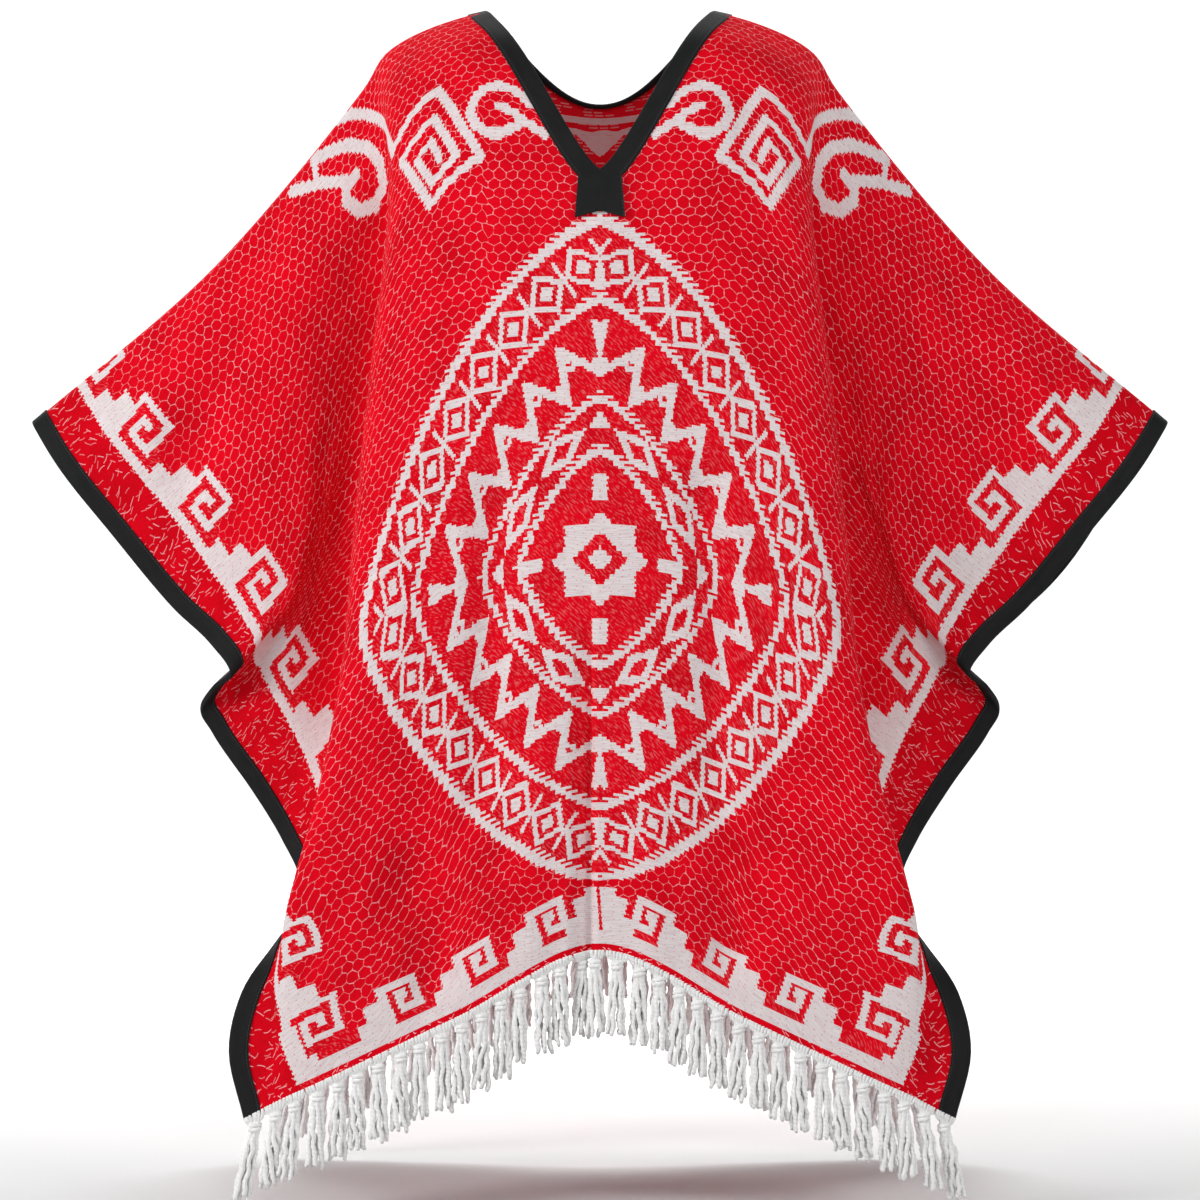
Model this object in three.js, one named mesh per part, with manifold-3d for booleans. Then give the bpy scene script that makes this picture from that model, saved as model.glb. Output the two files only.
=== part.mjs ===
// A worn wool poncho: a front and a back cloth, a bound V-neck with a square tab at its point,
// bound open sides, and a fringe of knotted tassels along each hem.
// Millimetres, +Z up, +X to the right of someone facing the front, which looks towards -Y.
import * as THREE from "three";
import Module from "manifold-3d";

const wasm = await Module();
wasm.setup();

// Sizes
const CLOTH = 2.4;
const GAP = 0.3;
const TAPE = 1.2;
const NECK_TAPE_WIDTH = 19;
const SIDE_TAPE_WIDTH = 18;
const TAB_HALF_WIDTH = 23;
const TAB_THICK = 1.6;
const SHOULDER_ROLL = 10;
const BACKING_DEPTH = 4;
const TASSELS = 35;

// The neck opening, as shares of the crease and of the cloth's length
const NECK_SHARE = 0.155;
const NECK = {
  front: { depth: 0.21, power: 1.35, tapeAtMiddle: 15 },
  back: { depth: 0.112, power: 2.2, tapeAtMiddle: NECK_TAPE_WIDTH },
};

// Columns are counted outward from the middle, rows from the shoulder crease down.
const COLUMNS = 22;
const NECK_COLUMNS = 5;
const ROWS = [
  0, 0.0014, 0.0051, 0.0102, 0.03, 0.06, 0.1, 0.15, 0.2, 0.25, 0.29, 0.325, 0.36,
  0.395, 0.43, 0.47, 0.53, 0.6, 0.67, 0.73, 0.78, 0.82, 0.86, 0.9, 0.94, 0.97, 1,
];
const LAST_ROW = ROWS.length - 1;

// Guide lines of the right half of the front, from the crease (down 0) to the hem (down 1).
const MIDDLE = [
  { down: 0.0, x: 0, y: 0, z: 14 },
  { down: 0.08, x: 0, y: -62, z: -50 },
  { down: 0.16, x: 0, y: -98, z: -120 },
  { down: 0.3, x: 0, y: -134, z: -260 },
  { down: 0.5, x: 0, y: -150, z: -460 },
  { down: 0.75, x: 0, y: -154, z: -700 },
  { down: 1.0, x: 0, y: -166, z: -930 },
];
const CHEST = [
  { down: 0.0, x: 128, y: 0, z: 4 },
  { down: 0.06, x: 128, y: -52, z: -30 },
  { down: 0.16, x: 130, y: -92, z: -110 },
  { down: 0.3, x: 132, y: -124, z: -265 },
  { down: 0.5, x: 135, y: -142, z: -480 },
  { down: 0.75, x: 145, y: -150, z: -738 },
  { down: 1.0, x: 140, y: -176, z: -995 },
];
// The big fold's outer edge, from the shoulder tip to the corner of the hem
const CREST = [
  { down: 0, x: 214, y: 0, z: -33 },
  { down: 0.07, x: 206, y: -52, z: -85 },
  { down: 0.16, x: 200, y: -84, z: -165 },
  { down: 0.3, x: 206, y: -108, z: -300 },
  { down: 0.5, x: 226, y: -128, z: -520 },
  { down: 0.62, x: 246, y: -138, z: -655 },
  { down: 0.75, x: 276, y: -150, z: -795 },
  { down: 0.82, x: 294, y: -158, z: -855 },
  { down: 0.87, x: 305, y: -163, z: -905 },
  { down: 1, x: 270, y: -180, z: -1056 },
];
// The hollow under the arm, where the cloth turns back behind the big fold
const VALLEY = [
  { down: 0, x: 240, y: 0, z: -72 },
  { down: 0.07, x: 222, y: -28, z: -130 },
  { down: 0.16, x: 220, y: -40, z: -230 },
  { down: 0.3, x: 240, y: -46, z: -400 },
  { down: 0.5, x: 262, y: -54, z: -590 },
  { down: 0.62, x: 256, y: -72, z: -700 },
  { down: 0.75, x: 266, y: -96, z: -812 },
  { down: 0.82, x: 284, y: -122, z: -866 },
  { down: 0.87, x: 306, y: -150, z: -912 },
  { down: 1, x: 300, y: -178, z: -1070 },
];
const WING = [
  { down: 0, x: 393, y: 0, z: -254 },
  { down: 0.06, x: 380, y: -30, z: -311 },
  { down: 0.16, x: 340, y: -40, z: -400 },
  { down: 0.3, x: 300, y: -46, z: -535 },
  { down: 0.5, x: 318, y: -40, z: -665 },
  { down: 0.62, x: 292, y: -42, z: -750 },
  { down: 0.75, x: 278, y: -62, z: -835 },
  { down: 0.82, x: 288, y: -88, z: -880 },
  { down: 0.87, x: 309, y: -132, z: -920 },
  { down: 1, x: 322, y: -175, z: -1082 },
];
// The open side edge, with the roll that turns it in and out again below the arm
const SIDE = [
  { down: 0, x: 575, y: 0, z: -410 },
  { down: 0.045, x: 551, y: -18, z: -447 },
  { down: 0.15, x: 489, y: -25, z: -525 },
  { down: 0.25, x: 428, y: -32, z: -597 },
  { down: 0.315, x: 388, y: -46, z: -634 },
  { down: 0.355, x: 368, y: -62, z: -660 },
  { down: 0.4, x: 388, y: -44, z: -678 },
  { down: 0.44, x: 402, y: -20, z: -698 },
  { down: 0.49, x: 391, y: -14, z: -722 },
  { down: 0.6, x: 352, y: -18, z: -778 },
  { down: 0.7, x: 318, y: -26, z: -832 },
  { down: 0.78, x: 299, y: -46, z: -872 },
  { down: 0.84, x: 300, y: -80, z: -905 },
  { down: 0.88, x: 320, y: -118, z: -932 },
  { down: 0.92, x: 347, y: -146, z: -972 },
  { down: 0.96, x: 358, y: -162, z: -1028 },
  { down: 1, x: 342, y: -170, z: -1092 },
];
const GUIDES = [MIDDLE, CHEST, CREST, VALLEY, WING, SIDE];

// How far the back stands out beside the front, and the place where its right edge shows past it
const BACK_FULLNESS = 0.86;
const BACK_EDGE = { from: 0.06, to: 0.33, out: 13 };

// One tassel, from its root in the backing to its tip
const TASSEL = [
  { below: 1.6, halfWidth: 2.2, halfDepth: 0.8 },
  { below: 11, halfWidth: 5.2, halfDepth: 4.4 },
  { below: 17, halfWidth: 3.6, halfDepth: 3.2 },
  { below: 50, halfWidth: 5.6, halfDepth: 4 },
  { below: 90, halfWidth: 7, halfDepth: 4.8 },
];

// Curves

function chordOf(table, from, axis) {
  const [a, b] = [table[from], table[from + 1]];
  return (b[axis] - a[axis]) / (b.down - a.down);
}

function slopeOf(table, i, axis) {
  if (i === 0) return chordOf(table, 0, axis);
  if (i === table.length - 1) return chordOf(table, i - 1, axis);
  const before = table[i].down - table[i - 1].down;
  const after = table[i + 1].down - table[i].down;
  const mixed = chordOf(table, i - 1, axis) * after + chordOf(table, i, axis) * before;
  return mixed / (before + after);
}

function guidePoint(table, down) {
  let i = 0;
  while (i < table.length - 2 && down > table[i + 1].down) i += 1;
  const step = table[i + 1].down - table[i].down;
  const t = (down - table[i].down) / step;
  const value = (axis) =>
    table[i][axis] * (1 + 2 * t) * (1 - t) ** 2 +
    slopeOf(table, i, axis) * step * t * (1 - t) ** 2 +
    table[i + 1][axis] * t * t * (3 - 2 * t) +
    slopeOf(table, i + 1, axis) * step * t * t * (t - 1);
  return new THREE.Vector3(value("x"), value("y"), value("z"));
}

const rowCache = new Map();

// The whole width of the cloth at one height, edge to edge through the guide lines
function rowCurve(down) {
  if (rowCache.has(down)) return rowCache.get(down);
  const right = GUIDES.map((table) => guidePoint(table, down));
  const left = right.slice(1).reverse();
  const mirrored = left.map((p) => new THREE.Vector3(-p.x, p.y, p.z));
  const curve = new THREE.CatmullRomCurve3([...mirrored, ...right], false, "centripetal");
  curve.arcLengthDivisions = 400;
  rowCache.set(down, curve);
  return curve;
}

function halfWidthOfCloth(down) {
  return rowCurve(down).getLength() / 2;
}

// How far the cloth has turned over the shoulder, 0 at the crease and 1 below the roll
function rollShare(down) {
  const turned = Math.min(1, down / (SHOULDER_ROLL / 980));
  return Math.sqrt(1 - (1 - turned) ** 2);
}

function backEdgeShift(across, down) {
  const share = (down - BACK_EDGE.from) / (BACK_EDGE.to - BACK_EDGE.from);
  if (share <= 0 || share >= 1) return 0;
  return BACK_EDGE.out * Math.sin(Math.PI * share) ** 2 * across ** 4;
}

// A point of the right half: across runs from the middle (0) to the side edge (1).
function clothPoint(face, across, down) {
  const p = rowCurve(down).getPointAt(0.5 + across / 2);
  const depth = -p.y + SHOULDER_ROLL * rollShare(down);
  if (face === "front") return new THREE.Vector3(p.x, -depth - GAP / 2, p.z);
  return new THREE.Vector3(p.x, depth * BACK_FULLNESS + GAP / 2, p.z);
}

function neckDown(face, share) {
  return NECK[face].depth * (1 - share ** NECK[face].power);
}

// The place a given distance away on the cloth, in a given direction
function stepOnCloth(face, across, down, direction, distance) {
  const h = 0.002;
  const here = clothPoint(face, across, down);
  const a = clothPoint(face, across + h, down).sub(here).divideScalar(h);
  const d = clothPoint(face, across, down + h).sub(here).divideScalar(h);
  const [aa, ad, dd] = [a.dot(a), a.dot(d), d.dot(d)];
  const [ra, rd] = [a.dot(direction) * distance, d.dot(direction) * distance];
  const det = aa * dd - ad * ad;
  return {
    across: across + (ra * dd - rd * ad) / det,
    down: down + (aa * rd - ad * ra) / det,
  };
}

// Where the cloth-side edge of the neck tape lies beside one column of the neck
function neckTapeInside(face, column) {
  const share = column / NECK_COLUMNS;
  const across = NECK_SHARE * share;
  const down = neckDown(face, share);
  if (column === 0) {
    return { across: 0, down: down + NECK[face].tapeAtMiddle / 984 };
  }
  if (column === NECK_COLUMNS) {
    return { across: across + NECK_TAPE_WIDTH / halfWidthOfCloth(0), down: 0 };
  }
  const near = (delta) => {
    const s = (column + delta) / NECK_COLUMNS;
    return clothPoint(face, NECK_SHARE * s, neckDown(face, s));
  };
  const along = near(0.4).sub(near(-0.4)).normalize();
  const here = clothPoint(face, across, down);
  const below = clothPoint(face, across, down + 0.01).sub(here);
  const inward = below.addScaledVector(along, -below.dot(along)).normalize();
  return stepOnCloth(face, across, down, inward, NECK_TAPE_WIDTH);
}

// The two-way share of a body column at a row, between the neck tape and the side tape
function columnPlace(face, column, row) {
  const bodyColumns = COLUMNS - 1;
  const inside = neckTapeInside(face, Math.min(column, NECK_COLUMNS));
  const startDown = column <= NECK_COLUMNS ? inside.down : 0;
  const down = startDown + (1 - startDown) * ROWS[row];
  const body = 1 - SIDE_TAPE_WIDTH / halfWidthOfCloth(down);
  if (column === COLUMNS) return { across: 1, down };
  const bodyAtTop = 1 - SIDE_TAPE_WIDTH / halfWidthOfCloth(startDown);
  const outward = Math.max(0, column - NECK_COLUMNS) / (bodyColumns - NECK_COLUMNS);
  const top = inside.across / bodyAtTop;
  const topShare = top + (1 - top) * outward;
  const hemShare = column / bodyColumns;
  return { across: (topShare + (hemShare - topShare) * ROWS[row]) * body, down };
}

// A grid point of a panel, on either half. Row -1 is the cut edge of the neck.
function gridPoint(face, column, row) {
  const c = Math.abs(column);
  const share = c / NECK_COLUMNS;
  const place =
    row < 0
      ? { across: NECK_SHARE * share, down: neckDown(face, share) }
      : columnPlace(face, c, row);
  const p = clothPoint(face, place.across, place.down);
  if (column < 0) p.x = -p.x;
  if (face === "back" && column > 0) p.x += backEdgeShift(place.across, place.down);
  return p;
}

// Meshes

function geometryOf(points, triangles) {
  const geometry = new THREE.BufferGeometry();
  const flat = points.flatMap((p) => [p.x, p.y, p.z]);
  geometry.setAttribute("position", new THREE.Float32BufferAttribute(flat, 3));
  geometry.setIndex(triangles.flat());
  return geometry;
}

function volumeOf(points, triangles) {
  let sum = 0;
  for (const [a, b, c] of triangles) {
    sum += points[a].dot(points[b].clone().cross(points[c]));
  }
  return sum / 6;
}

// A closed body with its faces turned outward
function outward(points, triangles) {
  if (volumeOf(points, triangles) > 0) return { points, triangles };
  return { points, triangles: triangles.map(([a, b, c]) => [a, c, b]) };
}

// One panel's middle surface: points, normals and triangles, all split the same way on both halves
function makePatch(face) {
  const points = [];
  const ranks = [];
  const index = new Map();
  const key = (column, row) => column + "," + row;
  for (let row = -1; row <= LAST_ROW; row += 1) {
    const reach = row < 0 ? NECK_COLUMNS : COLUMNS;
    for (let column = -reach; column <= reach; column += 1) {
      index.set(key(column, row), points.length);
      points.push(gridPoint(face, column, row));
      ranks.push((row + 1) * 100 + Math.abs(column));
    }
  }
  const at = (column, row) => index.get(key(column, row));
  const triangles = [];
  for (let row = -1; row < LAST_ROW; row += 1) {
    const reach = row < 0 ? NECK_COLUMNS : COLUMNS;
    for (let column = -reach; column < reach; column += 1) {
      const [a, b] = [at(column, row), at(column + 1, row)];
      const [c, d] = [at(column + 1, row + 1), at(column, row + 1)];
      if (column >= 0) triangles.push([a, b, c], [a, c, d]);
      else triangles.push([a, b, d], [b, c, d]);
    }
  }
  const turned = face === "front" ? triangles.map(([a, b, c]) => [a, c, b]) : triangles;
  const normals = cornerNormals(points, turned);
  const onCrease = (column) => Math.abs(column) >= NECK_COLUMNS;
  for (let column = -COLUMNS; column <= COLUMNS; column += 1) {
    if (onCrease(column)) layInCrease(normals[at(column, 0)]);
  }
  layInCrease(normals[at(-NECK_COLUMNS, -1)]);
  layInCrease(normals[at(NECK_COLUMNS, -1)]);
  return { points, normals, triangles: turned, ranks, at };
}

function cornerNormals(points, triangles) {
  const normals = points.map(() => new THREE.Vector3());
  for (const [a, b, c] of triangles) {
    const side = points[b].clone().sub(points[a]);
    const normal = side.cross(points[c].clone().sub(points[a]));
    for (const corner of [a, b, c]) normals[corner].add(normal);
  }
  normals.forEach((n) => n.normalize());
  return normals;
}

// Turns a normal into the upright plane of the shoulder crease, lengthened for the mitre.
function layInCrease(normal) {
  const flat = Math.hypot(normal.x, normal.z);
  normal.y = 0;
  normal.divideScalar(flat * Math.max(flat, 0.7));
}

// The patch thickened both ways, with a wall round every open edge. Each wall is split from the
// outer side of its end with the lower rank, the one nearer the crease or the middle.
function thicken(patch, half) {
  const { points, normals, triangles, ranks } = patch;
  const count = points.length;
  const outer = points.map((p, i) => p.clone().addScaledVector(normals[i], half));
  const inner = points.map((p, i) => p.clone().addScaledVector(normals[i], -half));
  const faces = [
    ...triangles,
    ...triangles.map(([a, b, c]) => [a + count, c + count, b + count]),
  ];
  const directed = new Set(triangles.flatMap(([a, b, c]) => [a + ">" + b, b + ">" + c, c + ">" + a]));
  for (const edge of directed) {
    const [a, b] = edge.split(">").map(Number);
    if (directed.has(b + ">" + a)) continue;
    if (ranks[a] < ranks[b]) faces.push([a, a + count, b + count], [a, b + count, b]);
    else faces.push([a, a + count, b], [b, a + count, b + count]);
  }
  return outward([...outer, ...inner], faces);
}

// One cross-section of a folded tape: two legs and the turn round the cloth's edge
function tapeRing(edge, inside, edgeNormal, insideNormal, legShare) {
  const out = edge.clone().sub(inside).normalize();
  const low = CLOTH / 2 + GAP;
  const high = low + TAPE;
  const turn = edge.clone().addScaledVector(out, GAP + TAPE);
  const pocket = edge.clone().addScaledVector(out, GAP);
  const innerLeg = edge.clone().lerp(inside, legShare);
  const lift = (p, normal, by) => p.clone().addScaledVector(normal, by);
  return [
    lift(inside, insideNormal, low),
    lift(inside, insideNormal, high),
    lift(turn, edgeNormal, high),
    lift(turn, edgeNormal, -high),
    lift(innerLeg, insideNormal, -high),
    lift(innerLeg, insideNormal, -low),
    lift(pocket, edgeNormal, -low),
    lift(pocket, edgeNormal, low),
  ];
}
// Which points of a ring lie at the cloth's edge, and which on its outer side
const AT_EDGE = [false, false, true, true, false, false, true, true];
const OUTER_SIDE = [true, true, true, false, false, false, false, true];

// Joins rings of tape. Each stretch says which ring is nearer the middle or the crease, so that
// its faces split along the same diagonal as the cloth under them.
function sweepTape(rings, closed, nearFirst, fromEdge) {
  const size = AT_EDGE.length;
  const points = rings.flat();
  const triangles = [];
  const stretches = closed ? rings.length : rings.length - 1;
  for (let s = 0; s < stretches; s += 1) {
    const next = (s + 1) % rings.length;
    const [near, far] = nearFirst(s) ? [s, next] : [next, s];
    for (let p = 0; p < size; p += 1) {
      const q = (p + 1) % size;
      const [np, nq, fp, fq] = [near * size + p, near * size + q, far * size + p, far * size + q];
      const level = AT_EDGE[p] === AT_EDGE[q];
      const startsAtP = level ? OUTER_SIDE[p] : AT_EDGE[p] === fromEdge;
      const pair = startsAtP
        ? [[np, fp, fq], [np, fq, nq]]
        : [[np, fp, nq], [nq, fp, fq]];
      for (const [a, b, c] of pair) triangles.push(nearFirst(s) ? [a, b, c] : [a, c, b]);
    }
  }
  if (!closed) {
    const cap = [[0, 1, 2], [0, 2, 7], [7, 2, 3], [7, 3, 6], [6, 3, 4], [6, 4, 5]];
    const last = (rings.length - 1) * size;
    for (const [a, b, c] of cap) {
      triangles.push([a, b, c], [last + a, last + c, last + b]);
    }
  }
  return outward(points, triangles);
}

// The tape's ring beside one column of the neck; on the crease both panels share it.
function neckRing(patch, column, legShare) {
  const edge = patch.at(column, -1);
  const inside = patch.at(column, 0);
  const ends = [patch.points[edge].clone(), patch.points[inside].clone()];
  if (Math.abs(column) === NECK_COLUMNS) ends.forEach((p) => (p.y = 0));
  return tapeRing(...ends, patch.normals[edge], patch.normals[inside], legShare);
}

// Inside the back of the neck the tape only just shows, so its inner leg narrows to the middle.
function backLegShare(column) {
  return 0.14 + 0.76 * (Math.abs(column) / NECK_COLUMNS) ** 2.5;
}

function neckTape(front, back) {
  const rings = [];
  for (let c = NECK_COLUMNS; c >= -NECK_COLUMNS; c -= 1) rings.push(neckRing(front, c, 0.9));
  for (let c = 1 - NECK_COLUMNS; c < NECK_COLUMNS; c += 1) {
    rings.push(neckRing(back, c, backLegShare(c)));
  }
  const quarter = NECK_COLUMNS;
  const nearFirst = (s) => Math.floor(s / quarter) % 2 === 1;
  return sweepTape(rings, true, nearFirst, true);
}

function sideRing(patch, sign, row) {
  const edge = patch.at(sign * COLUMNS, row);
  const inside = patch.at(sign * (COLUMNS - 1), row);
  const ends = [patch.points[edge].clone(), patch.points[inside].clone()];
  if (row === 0) ends.forEach((p) => (p.y = 0));
  return tapeRing(...ends, patch.normals[edge], patch.normals[inside], 0.9);
}

function sideTape(front, back, sign) {
  const rings = [];
  for (let row = LAST_ROW; row >= 0; row -= 1) rings.push(sideRing(front, sign, row));
  for (let row = 1; row <= LAST_ROW; row += 1) rings.push(sideRing(back, sign, row));
  return sweepTape(rings, false, (s) => s >= LAST_ROW, false);
}

// The square tab over the point of the V, lying on the tape
function neckTab() {
  const columns = 6;
  const rows = 4;
  const apex = neckDown("front", 0);
  const points = [];
  const ranks = [];
  for (let r = 0; r <= rows; r += 1) {
    for (let c = 0; c <= columns; c += 1) {
      ranks.push(r * 100 + c);
      const side = (c / columns) * 2 - 1;
      const downShare = r / rows;
      const bulge = 1 + 0.12 * downShare - 0.06;
      const across = (TAB_HALF_WIDTH * bulge * Math.abs(side)) / halfWidthOfCloth(apex);
      const notch = 7 * downShare * (1 - Math.abs(side));
      const down = apex + (6 + 41 * downShare - notch) / 984;
      const p = clothPoint("front", across, down);
      if (side < 0) p.x = -p.x;
      points.push(p);
    }
  }
  const triangles = [];
  for (let r = 0; r < rows; r += 1) {
    for (let c = 0; c < columns; c += 1) {
      const a = r * (columns + 1) + c;
      const d = a + columns + 1;
      triangles.push([a, d, a + 1], [a + 1, d, d + 1]);
    }
  }
  const normals = cornerNormals(points, triangles);
  const lift = CLOTH / 2 + TAPE + 3 * GAP + TAB_THICK / 2;
  const lifted = points.map((p, i) => p.clone().addScaledVector(normals[i], lift));
  return thicken({ points: lifted, normals, triangles, ranks }, TAB_THICK / 2);
}

// Fringe

// A place along the hem, counted in columns, with the ways down, across and out of the cloth
function hemPlace(patch, column) {
  const from = Math.max(-COLUMNS, Math.min(COLUMNS - 1, Math.floor(column)));
  const t = column - from;
  const pick = (list, row, c) => list[patch.at(c, row)];
  const mix = (list, row) => pick(list, row, from).clone().lerp(pick(list, row, from + 1), t);
  const point = mix(patch.points, LAST_ROW);
  const down = point.clone().sub(mix(patch.points, LAST_ROW - 1)).normalize();
  const out = mix(patch.normals, LAST_ROW).normalize();
  return { point, down, out };
}

// Joins rings of four points into a closed body
function fourSided(rings) {
  const points = rings.flat();
  const triangles = [];
  for (let s = 0; s < rings.length - 1; s += 1) {
    for (let p = 0; p < 4; p += 1) {
      const [a, b] = [s * 4 + p, s * 4 + ((p + 1) % 4)];
      triangles.push([a, b, b + 4], [a, b + 4, a + 4]);
    }
  }
  const last = points.length - 4;
  triangles.push([0, 2, 1], [0, 3, 2], [last, last + 1, last + 2], [last, last + 2, last + 3]);
  return outward(points, triangles);
}

function backingRing(patch, column) {
  const { point, down, out } = hemPlace(patch, column);
  const place = (depth, lift) =>
    point.clone().addScaledVector(down, depth).addScaledVector(out, lift);
  const bottom = GAP + BACKING_DEPTH;
  return [
    place(GAP, CLOTH / 2),
    place(GAP, -CLOTH / 2),
    place(bottom, -CLOTH / 2),
    place(bottom, CLOTH / 2),
  ];
}

// The hem column that lies a given share of the way along the hem
function hemColumnAt(patch, share) {
  const lengths = [0];
  for (let c = -COLUMNS + 1; c <= COLUMNS; c += 1) {
    const step = patch.points[patch.at(c, LAST_ROW)].distanceTo(
      patch.points[patch.at(c - 1, LAST_ROW)],
    );
    lengths.push(lengths[lengths.length - 1] + step);
  }
  const want = share * lengths[lengths.length - 1];
  let i = 0;
  while (i < lengths.length - 2 && lengths[i + 1] < want) i += 1;
  return -COLUMNS + i + (want - lengths[i]) / (lengths[i + 1] - lengths[i]);
}

function tassel(patch, number) {
  const share = (number + 0.5) / TASSELS;
  const { point, down, out } = hemPlace(patch, hemColumnAt(patch, share));
  const along = down.clone().cross(out).normalize();
  const level = new THREE.Vector3(Math.sign(along.x), 0, 0);
  const side = 2 * share - 1;
  const lean = new THREE.Vector3(
    9 * side ** 5 + 2.5 * Math.sin(number * 2.3),
    3 * Math.sin(number * 1.7),
    0,
  );
  const rings = TASSEL.map(({ below, halfWidth, halfDepth }) => {
    const hang = Math.max(0, below - 5);
    const centre = point.clone().addScaledVector(down, Math.min(below, 5));
    centre.z -= hang;
    centre.addScaledVector(lean, hang / 85);
    const wide = along.clone().lerp(level, Math.min(1, hang / 12)).normalize();
    const deep = new THREE.Vector3(0, Math.sign(out.y), 0).lerp(out, below < 6 ? 1 : 0);
    const corner = (w, d) =>
      centre.clone().addScaledVector(wide, w * halfWidth).addScaledVector(deep, d * halfDepth);
    return [corner(-1, 1), corner(-1, -1), corner(1, -1), corner(1, 1)];
  });
  return fourSided(rings);
}

function solidOf({ points, triangles }) {
  const vertProperties = new Float32Array(points.flatMap((p) => [p.x, p.y, p.z]));
  const triVerts = new Uint32Array(triangles.flat());
  return new wasm.Manifold(new wasm.Mesh({ numProp: 3, vertProperties, triVerts }));
}

// The backing strip with all its tassels, joined into one body
function fringe(patch) {
  const rings = [];
  for (let c = -COLUMNS; c <= COLUMNS; c += 1) rings.push(backingRing(patch, c));
  const pieces = [solidOf(fourSided(rings))];
  for (let n = 0; n < TASSELS; n += 1) pieces.push(solidOf(tassel(patch, n)));
  const mesh = wasm.Manifold.union(pieces).getMesh();
  const geometry = new THREE.BufferGeometry();
  const flat = [];
  for (let i = 0; i < mesh.numVert; i += 1) {
    const start = i * mesh.numProp;
    flat.push(...mesh.vertProperties.subarray(start, start + 3));
  }
  geometry.setAttribute("position", new THREE.Float32BufferAttribute(flat, 3));
  geometry.setIndex([...mesh.triVerts]);
  return geometry;
}

// The object

const wool = { roughness: 0.9, metalness: 0 };
const redCloth = new THREE.MeshStandardMaterial({ color: 0xc8102a, ...wool });
const blackTape = new THREE.MeshStandardMaterial({ color: 0x232323, ...wool });
const whiteYarn = new THREE.MeshStandardMaterial({ color: 0xefefec, ...wool });

const poncho = new THREE.Group();

function add(name, geometry, material) {
  geometry.computeVertexNormals();
  const mesh = new THREE.Mesh(geometry, material);
  mesh.name = name;
  poncho.add(mesh);
}

function addBody(name, body, material) {
  add(name, geometryOf(body.points, body.triangles), material);
}

const front = makePatch("front");
const back = makePatch("back");
addBody("front_panel", thicken(front, CLOTH / 2), redCloth);
addBody("back_panel", thicken(back, CLOTH / 2), redCloth);
addBody("neck_binding", neckTape(front, back), blackTape);
addBody("neck_tab", neckTab(), blackTape);
addBody("side_binding_left", sideTape(front, back, -1), blackTape);
addBody("side_binding_right", sideTape(front, back, 1), blackTape);
add("fringe_front", fringe(front), whiteYarn);
add("fringe_back", fringe(back), whiteYarn);

export default poncho;
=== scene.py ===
"""A red and white jacquard poncho with a black-bound V-neck and a knotted white fringe, worn and hollow.

The cloth's guide tables repeat those of the part's source, in millimetres. Everything built is in metres.
"""
import math

import bmesh
import bpy
import numpy as np
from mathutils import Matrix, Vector


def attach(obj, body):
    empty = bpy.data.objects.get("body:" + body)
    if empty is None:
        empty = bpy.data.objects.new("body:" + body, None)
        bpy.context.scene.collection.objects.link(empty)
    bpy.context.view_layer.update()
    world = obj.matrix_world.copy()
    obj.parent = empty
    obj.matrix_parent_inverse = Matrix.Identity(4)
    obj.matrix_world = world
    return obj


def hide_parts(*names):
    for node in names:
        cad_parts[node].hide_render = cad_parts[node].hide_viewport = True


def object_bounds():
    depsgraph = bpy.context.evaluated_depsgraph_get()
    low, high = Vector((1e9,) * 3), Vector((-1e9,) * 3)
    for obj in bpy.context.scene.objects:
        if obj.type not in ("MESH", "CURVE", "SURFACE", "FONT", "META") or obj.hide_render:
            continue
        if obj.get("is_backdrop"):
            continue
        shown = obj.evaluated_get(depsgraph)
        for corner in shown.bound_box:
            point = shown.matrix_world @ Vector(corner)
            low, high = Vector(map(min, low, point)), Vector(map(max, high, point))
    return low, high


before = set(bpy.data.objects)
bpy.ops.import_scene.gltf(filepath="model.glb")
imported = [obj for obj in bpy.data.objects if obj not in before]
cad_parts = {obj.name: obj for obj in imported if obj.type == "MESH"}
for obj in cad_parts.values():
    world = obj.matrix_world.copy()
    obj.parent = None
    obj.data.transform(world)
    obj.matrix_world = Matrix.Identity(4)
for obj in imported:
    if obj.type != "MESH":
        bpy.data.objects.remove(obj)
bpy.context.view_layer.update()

MM = 0.001

# Sizes in millimetres, as in the part's source
CLOTH = 2.4
GAP = 0.3
TAPE = 1.2
NECK_TAPE_WIDTH = 19
SIDE_TAPE_WIDTH = 18
SHOULDER_ROLL = 10
ROLL_SHARE = SHOULDER_ROLL / 980
LENGTH = 984
TASSELS = 35
NECK_SHARE = 0.155
NECK = {"front": (0.21, 1.35), "back": (0.112, 2.2)}
BACK_FULLNESS = 0.86
BACK_EDGE_FROM, BACK_EDGE_TO, BACK_EDGE_OUT = 0.06, 0.33, 13

# Guide lines of the right half of the front: down (0 at the crease, 1 at the hem), x, y, z
MIDDLE = (
    (0.0, 0, 0, 14), (0.08, 0, -62, -50), (0.16, 0, -98, -120), (0.3, 0, -134, -260),
    (0.5, 0, -150, -460), (0.75, 0, -154, -700), (1.0, 0, -166, -930),
)
CHEST = (
    (0.0, 128, 0, 4), (0.06, 128, -52, -30), (0.16, 130, -92, -110), (0.3, 132, -124, -265),
    (0.5, 135, -142, -480), (0.75, 145, -150, -738), (1.0, 140, -176, -995),
)
CREST = (
    (0.0, 214, 0, -33), (0.07, 206, -52, -85), (0.16, 200, -84, -165), (0.3, 206, -108, -300),
    (0.5, 226, -128, -520), (0.62, 246, -138, -655), (0.75, 276, -150, -795), (0.82, 294, -158, -855),
    (0.87, 305, -163, -905), (1.0, 270, -180, -1056),
)
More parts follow.
